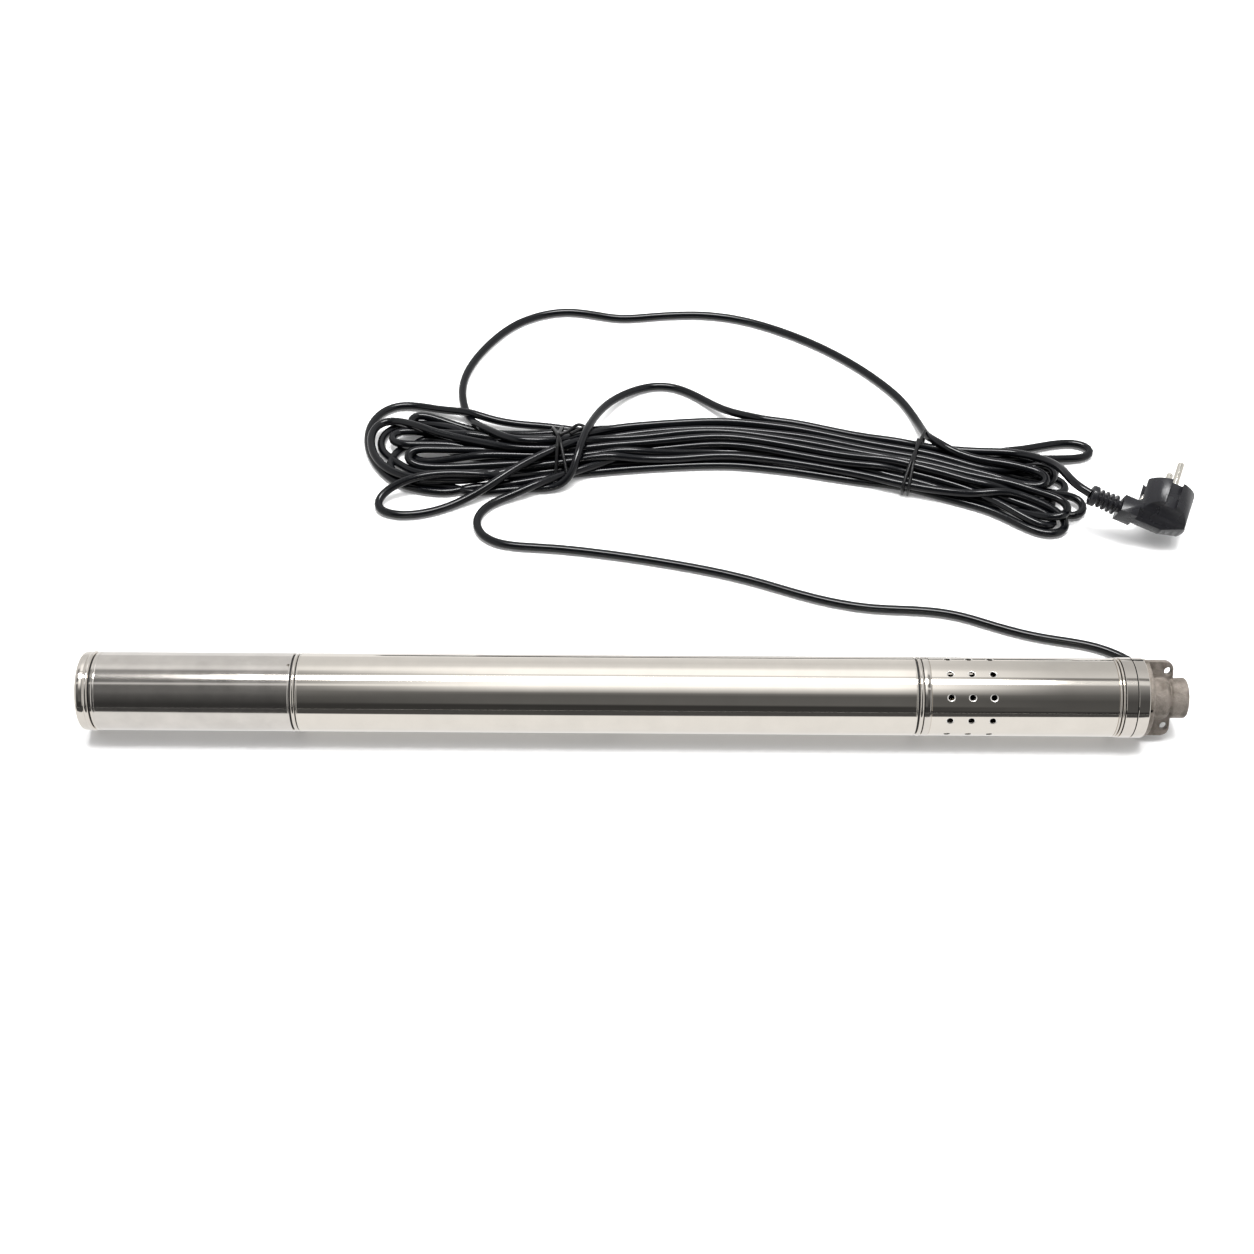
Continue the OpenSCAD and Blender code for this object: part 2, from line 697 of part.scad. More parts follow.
module motor_shaft() {
    low = x_lower_bearing + lower_bearing_w;
    steps = [[x_lower_bearing - 3, lower_bore_d / 2 - 0.6], [x_lower_bearing, lower_bore_d / 2],
        [low, shaft_d / 2], [x_upper_bearing, upper_bore_d / 2],
        [x_chamber, seal_shaft_d / 2], [x_upper_end, end_shaft_d / 2],
        [x_coupling + shaft_end - 0.5, 0]];
    outline = concat([[0, 0]],
        [for (i = [0 : len(steps) - 2], end = [0, 1]) [steps[i][1], steps[i + end][0] - steps[0][0]]],
        [[0, steps[len(steps) - 1][0] - steps[0][0]]]);
    color(steel) difference() {
        turned(steps[0][0], outline);
        coupling_pin_cut();
    }
}

module rotor_core() {
    rotor_r = core_bore / 2 - air_gap;
    ring_r = rotor_r - 0.8;
    ring_len = 4;
    bars = 22;
    color(laminations) difference() {
        union() {
            rod(x_core, core_len, rotor_r);
            rod(x_core - ring_len, core_len + 2 * ring_len, ring_r);
            for (i = [0 : 11]) on_axis(x_core - ring_len - 3) rotate([0, 0, i * 30])
                translate([ring_r - 1.6, 0, 0]) cylinder(h = core_len + 2 * ring_len + 6, r = 0.8);
        }
        rod(x_core - ring_len - cut, core_len + 2 * (ring_len + cut), shaft_d / 2 + fit_gap);
        for (i = [0 : bars - 1]) on_axis(x_core - cut) rotate([0, 0, i * 360 / bars])
            translate([rotor_r - 0.4, -0.4, 0]) cube([1, 0.8, core_len + 2 * cut]);
    }
}

module sand_slinger() {
    r = 11;
    outline = [[end_shaft_d / 2 + fit_gap, 0], [r - 2, 0], [r, 1.6], [r, 2.4], [r - 3, 2],
        [end_shaft_d / 2 + 2, 2], [end_shaft_d / 2 + 2, 5], [end_shaft_d / 2 + fit_gap, 5]];
    color(rubber) turned(x_upper_end + 0.6, outline);
}

module coupling_pin_cut() {
    on_axis(x_coupling + shaft_end / 2) rotate([90, 0, 0])
        cylinder(h = 2 * coupling_r + 2 * cut, r = 1.5 + fit_gap, center = true);
}

module shaft_coupling() {
    outline = [[end_shaft_d / 2 + fit_gap, 0], [coupling_r - 1, 0], [coupling_r, 1],
        [coupling_r, coupling_len - 1], [coupling_r - 1, coupling_len],
        [flex_r, coupling_len], [flex_r, coupling_len - flex_socket],
        [2, coupling_len - flex_socket], [2, shaft_end], [end_shaft_d / 2 + fit_gap, shaft_end]];
    color(steel) difference() {
        turned(x_coupling, outline);
        coupling_pin_cut();
    }
}

module coupling_pin() {
    color(satin_steel) on_axis(x_coupling + shaft_end / 2) rotate([90, 0, 0])
        cylinder(h = 2 * coupling_r - 0.6, r = 1.5, center = true);
}

// The screw's own axis lies below the pump's axis by the eccentricity
module at_screw_axis() {
    translate([0, 0, -screw_offset]) children();
}

module flexible_shaft() {
    from = x_flex + flex_end_len;
    to = x_neck - 1;
    rings = 8;
    path = [for (i = [0 : rings]) [from - eps + (to - from + 2 * eps) * i / rings, 0,
        axis_z - screw_offset * (1 - cos(180 * i / rings)) / 2]];
    color(steel) {
        rod(x_flex + 0.3, flex_end_len - 0.3, flex_r - fit_gap);
        swept(path, flex_r - 0.6, 16);
        at_screw_axis() rod(to, flex_end_len, flex_r - fit_gap);
    }
}

// One length of a screw surface: its section is offset from the axis it turns about
module screw_form(length, pitch, steps_per_turn) {
    linear_extrude(height = length, twist = -360 * length / pitch,
        slices = round(steps_per_turn * length / pitch)) children();
}

module screw_rotor() {
    neck_r = flex_r + 2.2;
    lead_turn = -360 * screw_lead_in / screw_pitch;
    color(steel) at_screw_axis() {
        pipe(x_neck, screw_neck + eps, neck_r, flex_r);
        on_axis(x_screw) rotate([0, 0, lead_turn]) screw_form(screw_len, screw_pitch, 16)
            translate([screw_offset, 0]) circle(r = screw_r, $fn = 24);
    }
}

module screw_stator() {
    bore_r = screw_r + screw_gap;
    reach = 2 * screw_offset;
    color(rubber) difference() {
        rod(x_stator, stator_len, sleeve_r - sleeve_wall - fit_gap);
        on_axis(x_stator - screw_pitch / 20) rotate([0, 0, -9])
            screw_form(stator_len + screw_pitch / 10, 2 * screw_pitch, 40)
                polygon(concat(arc(reach, 0, bore_r, -90, 90, 14), arc(-reach, 0, bore_r, 90, 270, 14)));
    }
}

module stator_sleeve() {
    inner = sleeve_r - sleeve_wall;
    outline = [[inner, 4], [inner - 1, 3], [inner - 1, 0], [sleeve_r, 0],
        [sleeve_r, x_sleeve_end - x_sleeve], [inner, x_sleeve_end - x_sleeve]];
    color(steel) turned(x_sleeve, outline);
}

module stator_spider() {
    width = 6;
    color(satin_steel) on_axis(x_sleeve) difference() {
        cylinder(h = width, r = seat_r);
        translate([0, 0, -cut]) cylinder(h = width + 2 * cut, r = sleeve_r + fit_gap);
        for (turn = [70 : 55 : 290]) clock(gland_clock + turn)
            translate([gland_r, 0, -cut]) cylinder(h = width + 2 * cut, r = 2.9);
        clock(gland_clock) translate([gland_r, 0, -cut])
            cylinder(h = width + 2 * cut, r = cable_hole_r);
    }
}

module coupling_band() {
    groove_end = 1.2;
    bead_end = groove_end + 2.6;
    bore = seat_r - band_wall;
    outline = concat(
        [[bore, -spigot_len], [seat_r, -spigot_len], [seat_r, 0], [tube_r - 0.6, 0],
        [tube_r - 0.6, groove_end]],
        bead(tube_r, bead_rise * 0.8, groove_end, bead_end),
        [[tube_r - 0.2, bead_end], [tube_r - 0.2, bead_end + 0.4],
        [tube_r + 0.1, bead_end + 0.4], [tube_r + 0.1, band_len - 0.6],
        [tube_r - 0.3, band_len - 0.5], [tube_r - 0.3, band_len], [seat_r, band_len],
        [seat_r, band_len + spigot_len], [bore, band_len + spigot_len]]);
    color(satin_steel) difference() {
        turned(x_band, outline);
        o_ring_groove(x_band - spigot_len / 2, tube_in_r);
    }
}

module band_o_rings() {
    color(rubber) {
        o_ring(x_band - spigot_len / 2, tube_in_r);
        o_ring(x_upper_ring, tube_in_r);
    }
}

module pump_shell() {
    color(steel) difference() {
        pipe(x_pump, pump_len, tube_r, tube_in_r);
        for (i = [0 : intake_count - 1], row = [0 : intake_rows - 1])
            on_axis(x_pump + intake_start + i * intake_pitch)
                clock(view_clock + row * 360 / intake_rows)
                    rotate([0, 90, 0]) cylinder(h = bead_r, r = intake_d / 2);
    }
}

module head_collar() {
    bore = seat_r - collar_wall;
    band = (collar_len - 4.1 - 0.6) / 2;
    outline = concat(
        [[bore, -spigot_len], [seat_r, -spigot_len], [seat_r, 0], [tube_r - 0.3, 0]],
        bead(tube_r - 0.1, bead_rise * 0.7, 0.1, 1.6),
        [[tube_r - 0.5, 1.6], [tube_r - 0.5, 2.2]],
        bead(tube_r - 0.1, bead_rise * 0.9, 2.2, 3.7),
        [[tube_r - 0.3, 3.7], [tube_r - 0.3, 4.1], [bead_r, 4.3], [bead_r, 4.1 + band],
        [bead_r - 0.6, 4.1 + band], [bead_r - 0.6, 4.7 + band], [bead_r, 4.7 + band]],
        arc(bead_r - 0.6, collar_len - 0.6, 0.6, 0, 90, 4),
        [[bore, collar_len]]);
    color(satin_steel) turned(x_collar, outline);
}

module head_gasket() {
    color(rubber) pipe(x_sleeve_end, gasket_len, sleeve_r - 0.1, sleeve_r - sleeve_wall - 1.4);
}

module lug_shape() {
    reach = tube_r - 0.5;
    for (side = [-1, 1]) scale([1, side]) {
        square([lug_len - lug_corner_r, reach]);
        square([lug_len, reach - lug_corner_r]);
        translate([lug_len - lug_corner_r, reach - lug_corner_r]) circle(r = lug_corner_r);
    }
}

module lugs() {
    on_axis(x_head) clock(lug_clock) rotate([0, -90, -90])
        linear_extrude(lug_thick, center = true) lug_shape();
}

module lug_eyes() {
    for (side = [0, 180]) on_axis(x_head + lug_len - 3.6) clock(lug_clock + side)
        translate([eye_offset, 0, 0]) rotate([90, 0, 0])
            cylinder(h = lug_thick + 2 * cut, r = eye_d / 2, center = true);
}

module discharge_head() {
    dome_r = dome_d / 2;
    neck_r = neck_d / 2;
    round_r = 4.5;
    socket = 6;
    spigot = 10;
    spigot_r = seat_r - collar_wall - fit_gap;
    throat_from = spigot + head_len - outlet_len;
    outside = concat(
        [[0, 0], [spigot_r, 0], [spigot_r, spigot], [tube_r - 0.5, spigot],
        [tube_r - 0.5, spigot + flange_len - 0.6], [tube_r - 1.1, spigot + flange_len],
        [dome_r + 1.6, spigot + flange_len], [dome_r + 0.4, spigot + flange_len + 0.5]],
        [[dome_r, spigot + flange_len + 1.6]],
        arc(dome_r - round_r, spigot + dome_len - round_r, round_r, 0, 68),
        [[neck_r - 0.5, spigot + dome_len + 0.3], [neck_r, spigot + dome_len + 1]],
        arc(neck_r - 1, spigot + head_len - 1, 1, 0, 90, 4),
        [[0, spigot + head_len]]);
    inside = [[0, -cut], [sleeve_r + fit_gap, -cut], [sleeve_r + fit_gap, socket],
        [13, socket], [13, spigot + 5], [outlet_d / 2, throat_from - 2],
        [outlet_d / 2, spigot + head_len - 1], [outlet_d / 2 + 1.2, spigot + head_len + 0.2],
        [0, spigot + head_len + 0.2]];
    color(cast_metal) difference() {
        union() {
            turned(x_head - spigot, outside);
            lugs();
            on_axis(x_head) clock(gland_clock) translate([gland_r, 0, 0])
                cylinder(h = flange_len + 1, r = 4.6);
        }
        turned(x_head - spigot, inside);
        lug_eyes();
        on_axis(x_head - spigot - cut) clock(gland_clock) {
            translate([gland_r, 0, 0]) cylinder(h = spigot + 8, r = cable_hole_r);
            translate([gland_r, -cable_hole_r, 0]) cube([6, 2 * cable_hole_r, spigot + cut]);
        }
        on_axis(x_head) clock(view_clock + 12) translate([tube_r - 3, 0, 0])
            rotate([0, 0, 45]) cube([4, 4, 1.6]);
    }
}

module cable_gland() {
    color(brass) on_axis(x_head + flange_len + 1) clock(gland_clock)
        translate([gland_r, 0, 0]) difference() {
            cylinder(h = 4, r = 5.5, $fn = 6);
            translate([0, 0, -cut]) cylinder(h = 4 + 2 * cut, r = cable_r + 1 + fit_gap);
        }
}

module cable_boot() {
    color(rubber) on_axis(x_head + flange_len + 1) clock(gland_clock)
        translate([gland_r, 0, 0]) difference() {
            union() {
                cylinder(h = 5, r = cable_r + 1);
                translate([0, 0, 5 - eps]) cylinder(h = 3, r1 = cable_r + 1, r2 = cable_r + 0.5);
            }
            translate([0, 0, -cut]) cylinder(h = 8 + 2 * cut, r = cable_r + fit_gap);
        }
}

// The part of the cable that runs from the motor up through the pump tube to the head
module motor_cable() {
    stations = [[x_upper_bell - 6, bush_r], [x_upper_end + 4, bush_r], [x_band + 4, bush_r],
        [x_pump + 12, bush_r], [x_pump + 24, (bush_r + gland_r) / 2],
        [x_pump + 36, gland_r - 0.2], [x_sleeve, gland_r], [x_head + flange_len, gland_r]];
    path = [for (s = stations) [s[0], s[1] * cos(gland_clock), axis_z + s[1] * sin(gland_clock)]];
    color(rubber) swept(path, cable_r, 12);
}

module supply_cable() {
    color(rubber) swept(smooth(lead_route, 1), cable_r, 10);
}

module cable_loop() {
    color(rubber) swept(smooth(loop_route, 1), cable_r, 10);
}

module cable_arc() {
    color(rubber) swept(arc_route, cable_r, 10);
}

module cable_tail() {
    color(rubber) swept(tail_route, cable_r, 10);
}

function hank_side(side) = [for (i = [0 : len(hank_spine) - 1])
    let (s = hank_spine[i], t = tangent([for (q = hank_spine) [q[0], q[1]]], i))
    [s[0] - side * t[1] * s[2], s[1] + side * t[0] * s[2]]];

module hank_outline() {
    first = hank_spine[0];
    last = hank_spine[len(hank_spine) - 1];
    lower = hank_side(-1);
    upper = hank_side(1);
    n = len(hank_spine);
    polygon(concat(
        lower,
        arc(last[0], last[1], last[2], -75, 65, 8),
        [for (i = [n - 1 : -1 : 0]) upper[i]],
        arc(first[0], first[1], first[2], 110, 245, 8)));
}

module cable_hank() {
    color(rubber) linear_extrude(hank_h) hank_outline();
}

// A wire tie: a band that lies round the hank at one place
module tie(x, y, turn, width) {
    wire = 1.4;
    translate([x, y, 0]) rotate([0, 0, turn]) difference() {
        translate([-1.5, -width / 2 - wire, 0]) cube([3, width + 2 * wire, hank_h + wire]);
        translate([-2.5, -width / 2, -cut]) cube([5, width, hank_h + cut]);
    }
}

module cable_ties() {
    color(rubber) {
        tie(-56, 249, 12, 51);
        tie(205, 235, -12, 43);
    }
}

// Places its children at the plug: local +Z along the pins, local +X away from the cable
module at_plug() {
    translate(plug_place) rotate(plug_turns) children();
}

clip_slot_w = 9;
clip_slot_depth = 4.5;
grip_z = 16;
grip_r = 24;

module plug_body() {
    r = plug_d / 2;
    back_bevel = 1.5;
    guide_w = 8;
    guide_depth = 3.4;
    outline = [[0, 0], [r - back_bevel, 0], [r, back_bevel], [r, plug_h - 1],
        [r - 1, plug_h], [0, plug_h]];
    color(plastic) at_plug() difference() {
        union() {
            rotate_extrude() polygon(outline);
            translate([-plug_neck_len, -plug_neck_w / 2, 0])
                cube([plug_neck_len, plug_neck_w, plug_neck_h]);
        }
        // Arched finger grips on both sides of the neck's slab
        for (side = [-1, 1]) translate([0, side * (plug_neck_w / 2 + r), grip_z - grip_r])
            rotate([90, 0, 0]) cylinder(h = 2 * r, r = grip_r, center = true);
        // Guide grooves from the grips to the face
        for (side = [-1, 1]) translate([-guide_w / 2, side * r - guide_depth, grip_z - 4])
            cube([guide_w, 2 * guide_depth, plug_h]);
        for (side = [-1, 1]) scale([side, 1, 1])
            translate([r - clip_slot_depth, -clip_slot_w / 2, clip_from(side)])
                cube([clip_slot_depth + cut, clip_slot_w, plug_h]);
        for (side = [-1, 1]) translate([0, side * pin_pitch / 2, plug_h - 8])
            cylinder(h = 8 + cut, r = pin_d / 2 + fit_gap);
    }
}

// The earth clips start above the neck on one side and near the back on the other
function clip_from(side) = side > 0 ? 7 : plug_neck_h + 4;

module plug_relief() {
    ribs = 4;
    pitch = 3.6;
    collar = 5;
    core_r = cable_r + 1.2;
    rib_points = [for (i = [0 : ribs - 1]) let (z = collar + 1.6 + i * pitch, r = 6.6 + i * 0.2)
        each [[core_r, z], [r, z], [r, z + pitch - 1.5], [core_r, z + pitch - 1.5]]];
    outline = concat([[cable_r + fit_gap, 0], [6.6, 0], [7.3, 0.8], [7.3, collar], [core_r, collar]],
        rib_points, [[core_r, plug_relief_len], [cable_r + fit_gap, plug_relief_len]]);
    color(plastic) at_plug() translate([-plug_neck_len - plug_relief_len, 0, plug_cable_z])
        rotate([0, 90, 0]) rotate_extrude() polygon(outline);
}

module plug_pins() {
    color(steel) at_plug() for (side = [-1, 1])
        translate([0, side * pin_pitch / 2, plug_h - 8]) {
            cylinder(h = 8 + pin_len - 1.2, r = pin_d / 2);
            translate([0, 0, 8 + pin_len - 1.2 - eps])
                cylinder(h = 1.2 + eps, r1 = pin_d / 2, r2 = pin_d / 2 - 1.2);
        }
}

module plug_earth_clips() {
    strip = 0.8;
    width = 5;
    top = plug_h - 2;
    color(steel) at_plug() for (side = [-1, 1]) scale([side, 1, 1]) {
        low = clip_from(side);
        translate([plug_d / 2 - clip_slot_depth, width / 2, 0]) rotate([90, 0, 0])
            linear_extrude(width)
                polygon([[0, low], [3.2, low], [3.9, low + 4], [2, top - 4], [1, top],
                    [0, top], [0, top - strip], [0.6, top - strip], [1.4, top - 4.4],
                    [3, low + 4], [2.5, low + strip], [0, low + strip]]);
    }
}

bottom_cap();
housing_o_rings();
capacitor_housing();
capacitor();
capacitor_cradles();
capacitor_leads();
joint_ring();
lock_screw();
motor_shell();
lower_end_bell();
lead_bush();
oil_plug();
stator_core();
windings();
thermal_protector();
upper_end_bell();
oil_seal();
seal_cover();
seal_seat();
cable_bush();
lower_bearing_outer();
upper_bearing_outer();
coupling_band();
band_o_rings();
pump_shell();
screw_stator();
stator_sleeve();
stator_spider();
head_collar();
head_gasket();
discharge_head();
cable_gland();
cable_boot();
motor_cable();
motor_shaft();
rotor_core();
lower_bearing_inner();
upper_bearing_inner();
seal_spring();
seal_ring();
sand_slinger();
shaft_coupling();
coupling_pin();
lower_bearing_balls();
lower_bearing_cage();
upper_bearing_balls();
upper_bearing_cage();
flexible_shaft();
screw_rotor();
supply_cable();
cable_hank();
cable_loop();
cable_arc();
cable_tail();
cable_ties();
plug_body();
plug_relief();
plug_pins();
plug_earth_clips();
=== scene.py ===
import json
import math

import bpy
import numpy as np
from mathutils import Matrix, Vector

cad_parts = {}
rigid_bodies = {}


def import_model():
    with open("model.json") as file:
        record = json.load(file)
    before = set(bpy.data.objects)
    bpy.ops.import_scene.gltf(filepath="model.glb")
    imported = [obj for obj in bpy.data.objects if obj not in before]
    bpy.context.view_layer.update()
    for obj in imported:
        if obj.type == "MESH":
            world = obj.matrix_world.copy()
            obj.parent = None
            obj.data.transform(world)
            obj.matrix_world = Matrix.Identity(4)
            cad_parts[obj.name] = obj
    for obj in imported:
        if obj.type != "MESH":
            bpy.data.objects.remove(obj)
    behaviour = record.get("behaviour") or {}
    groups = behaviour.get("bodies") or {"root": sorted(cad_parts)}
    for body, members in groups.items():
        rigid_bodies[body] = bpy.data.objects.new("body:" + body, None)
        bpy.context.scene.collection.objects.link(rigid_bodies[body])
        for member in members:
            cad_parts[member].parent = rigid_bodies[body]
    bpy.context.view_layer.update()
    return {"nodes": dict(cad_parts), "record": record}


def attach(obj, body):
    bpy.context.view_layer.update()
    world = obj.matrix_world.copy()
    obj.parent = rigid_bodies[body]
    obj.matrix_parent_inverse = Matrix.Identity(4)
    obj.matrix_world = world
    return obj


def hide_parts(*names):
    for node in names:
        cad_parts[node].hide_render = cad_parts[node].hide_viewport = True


mm = 0.001

# Sizes shared with the CAD frame, in millimetres
axisHeight = 25.5
tubeRadius = 25.0
cableRadius = 3.0
# Where each outer piece starts along the pump's axis
stations = {
    "cap": -350.45,
    "housing": -339.85,
    "ring": -215.85,
    "motor": -211.85,
    "band": 177.75,
    "pump": 186.35,
    "collar": 303.35,
}


def deselect():
    if bpy.context.object and bpy.context.object.mode != "OBJECT":
        bpy.ops.object.mode_set(mode="OBJECT")
    bpy.ops.object.select_all(action="DESELECT")


def choose(obj):
    deselect()
    obj.select_set(True)
    bpy.context.view_layer.objects.active = obj


def applyPlace(obj):
    choose(obj)
    bpy.ops.object.transform_apply(location=True, rotation=True, scale=True)


def applyModifier(obj, kind, **settings):
    choose(obj)
    modifier = obj.modifiers.new(kind.lower(), kind)
    for key, value in settings.items():
        setattr(modifier, key, value)
    bpy.ops.object.modifier_apply(modifier=modifier.name)


def smooth(obj, degrees=32):
    choose(obj)
    bpy.ops.object.shade_smooth_by_angle(angle=math.radians(degrees))


def clockVector(degrees):
    angle = math.radians(degrees)
    return Vector((0, math.cos(angle), math.sin(angle)))


def arcPoints(centre, radius, start, end, steps=6):
    points = []
    for i in range(steps + 1):
        angle = math.radians(start + (end - start) * i / steps)
        points.append((centre[0] + radius * math.cos(angle), centre[1] + radius * math.sin(angle)))
    return points


def beadPoints(start, end, radius, rise, steps=10):
    points = []
    for i in range(steps + 1):
        angle = math.pi * i / steps
        points.append((start + (end - start) * (1 - math.cos(angle)) / 2, radius + rise * math.sin(angle)))
    return points


def cutAway(obj, *cutters):
    for cutter in cutters:
        applyModifier(obj, "BOOLEAN", operation="DIFFERENCE", object=cutter, solver="EXACT")
        bpy.data.objects.remove(cutter)


def joinOn(obj, *others):
    for other in others:
        applyModifier(obj, "BOOLEAN", operation="UNION", object=other, solver="EXACT")
        bpy.data.objects.remove(other)


def block(name, low, high):
    low, high = Vector(low) * mm, Vector(high) * mm
    deselect()
    bpy.ops.mesh.primitive_cube_add(size=1, location=(low + high) / 2, scale=high - low)
    bpy.context.object.name = name
    applyPlace(bpy.context.object)
    return bpy.context.object


def drum(name, radius, length, centre, axis, sides=96):
    turn = Vector((0, 0, 1)).rotation_difference(Vector(axis)).to_euler()
    deselect()
    bpy.ops.mesh.primitive_cylinder_add(
        vertices=sides, radius=radius * mm, depth=length * mm, location=Vector(centre) * mm, rotation=turn
    )
    bpy.context.object.name = name
    applyPlace(bpy.context.object)
    return bpy.context.object


def spun(name, outline, place, axis=(1, 0, 0), out=(0, 0, 1), steps=192):
    # the outline's points are distance along the axis and radius, in millimetres from place
    axis, out, place = Vector(axis), Vector(out), Vector(place)
    spots = [(place + axis * a + out * r) * mm for a, r in outline]
    deselect()
    bpy.ops.mesh.primitive_plane_add(size=mm, location=spots[0])
    obj = bpy.context.object
    obj.name = name
    bpy.ops.object.mode_set(mode="EDIT")
    bpy.ops.mesh.select_all(action="SELECT")
    bpy.ops.mesh.merge(type="CENTER")
    for before, after in zip(spots, spots[1:]):
        bpy.ops.mesh.extrude_region_move(TRANSFORM_OT_translate={"value": after - before})
    bpy.ops.mesh.select_all(action="SELECT")
    bpy.ops.mesh.spin(steps=steps, angle=2 * math.pi, center=place * mm, axis=axis)
    bpy.ops.mesh.select_all(action="SELECT")
    bpy.ops.mesh.remove_doubles(threshold=1e-6)
    bpy.ops.mesh.normals_make_consistent(inside=False)
    bpy.ops.object.mode_set(mode="OBJECT")
    applyPlace(obj)
    return obj


def linear(code):
    parts = [int(code[i : i + 2], 16) / 255 for i in (1, 3, 5)]
    return (*[v / 12.92 if v <= 0.04045 else ((v + 0.055) / 1.055) ** 2.4 for v in parts], 1)


def darker(colour, share):
    return tuple(v * (1 - share) for v in colour[:3]) + (1,)


def addNode(tree, kind, settings=None, **links):
    # a number names a socket by its place; so does _number in the links
    made = tree.nodes.new("ShaderNode" + kind)
    for key, value in (settings or {}).items():
        if key == "stops":
            elements = made.color_ramp.elements
            elements.remove(elements[-1])
            elements[0].position, elements[0].color = value[0]
            for place, colour in value[1:]:
                elements.new(place).color = colour
        elif isinstance(key, int) or key in made.inputs:
            made.inputs[key].default_value = value
        else:
            setattr(made, key, value)
    for key, source in links.items():
        socket = int(key[1:]) if key[1:].isdigit() else key.replace("_", " ")
        tree.links.new(source, made.inputs[socket])
    return made


def grey(v):
    return (v, v, v, 1)


def startMaterial(name):
    material = bpy.data.materials.new(name)
    material.use_nodes = True
    tree = material.node_tree
    shader = tree.nodes["Principled BSDF"]
    place = addNode(tree, "TexCoord").outputs["Object"]
    return material, tree, shader, place


# Each finish: sRGB colour, metallic, roughness, grain in mm, bump depth in mm, share of colour and
# roughness that varies, and how the grain is stretched along X, Y and Z (below 1 is longer)
finishes = {
    # cold drawn tube, polished along its length: a mirror with faint streaks along the pump
    "polished drawn stainless tube": ("#e4ded5", 1, 0.05, 0.9, 0.0010, 0.05, (0.02, 1, 1)),
    # the same tube buffed round and round: a little duller, with fine rings and hazy patches
    "buffed stainless tube": ("#dad5cf", 1, 0.10, 0.35, 0.0012, 0.12, (1, 0.06, 0.06)),
    # painted shadow at the bottom of the grooves and seams: black and dull
    "painted seam shadow": ("#141415", 0, 0.6, 0.4, 0.003, 0.1, (1, 1, 1)),
    # countersunk by hand after drilling and rougher than the tube; its light colour is a painted highlight, a
    # soft bright ring round each hole
    "hole rim painted highlight": ("#f4f1ec", 1, 0.42, 0.3, 0.001, 0.04, (1, 1, 1)),
    # turned on a lathe and rolled: bright beads with fine rings
    "turned stainless steel": ("#ddd7cf", 1, 0.06, 0.3, 0.0015, 0.08, (1, 0.06, 0.06)),
    # ground and hardened: even, with a soft gleam
    "ground bearing steel": ("#c6c6c4", 1, 0.18, 0.4, 0.001, 0.06, (1, 1, 1)),
    # chrome plate on a polished screw: a deep mirror
    "hard chrome plate": ("#d5d7da", 1, 0.1, 0.6, 0.0006, 0.05, (1, 1, 1)),
    # bright nickel over brass, as on plug pins: warm and shiny
    "nickel plated brass": ("#dad6cd", 1, 0.14, 0.5, 0.0002, 0.08, (1, 1, 1)),
    # machined brass: yellow with fine tool marks
    "machined brass": ("#c9a75f", 1, 0.28, 0.3, 0.003, 0.1, (1, 0.1, 0.1)),
    # enamelled copper wire: brown red and glossy
    "enamelled copper wire": ("#a9603a", 1, 0.33, 0.5, 0.02, 0.15, (0.3, 1, 1)),
    # stacked punched sheets, with an edge every half millimetre
    "stacked sheet steel": ("#6f7275", 1, 0.42, 0.5, 0.01, 0.15, (1, 0.05, 0.05)),
    # cast and machined iron end bells: grey, slightly rough
    "machined cast iron": ("#8f908f", 1, 0.4, 0.6, 0.008, 0.15, (1, 1, 1)),
    # pressure moulded nitrile rubber: dark and dull
    "moulded nitrile rubber": ("#161617", 0, 0.55, 0.5, 0.006, 0.15, (1, 1, 1)),
    # extruded PVC cable sheath: near black with a soft, narrow shine
    "extruded PVC sheath": ("#07080b", 0, 0.13, 1.6, 0.001, 0.25, (1, 1, 1)),
    # plastic coated binding wire: black and shiny
    "coated binding wire": ("#0d0d0e", 0, 0.3, 0.8, 0.004, 0.2, (1, 1, 1)),
    # injection moulded PVC plug: black, glossy where it was polished in the mould
    "injection moulded PVC": ("#1d1d20", 0, 0.24, 0.45, 0.004, 0.2, (1, 1, 1)),
    # ABS can of the capacitor
    "white ABS": ("#e6e3da", 0, 0.35, 0.6, 0.004, 0.05, (1, 1, 1)),
    # lapped ceramic and carbon seal faces
    "lapped ceramic": ("#ece9e2", 0, 0.2, 0.6, 0.001, 0.05, (1, 1, 1)),
    "lapped carbon": ("#232324", 0, 0.35, 0.6, 0.002, 0.1, (1, 1, 1)),
}
# plasticised PVC reflects a little less than the default
dimmerSheen = {"extruded PVC sheath": 0.34, "coated binding wire": 0.3, "injection moulded PVC": 0.35}


# Patches of colour and roughness on every finish, in millimetres, and where they start and end
patches = {"size": 14, "low": 0.3, "high": 0.7}


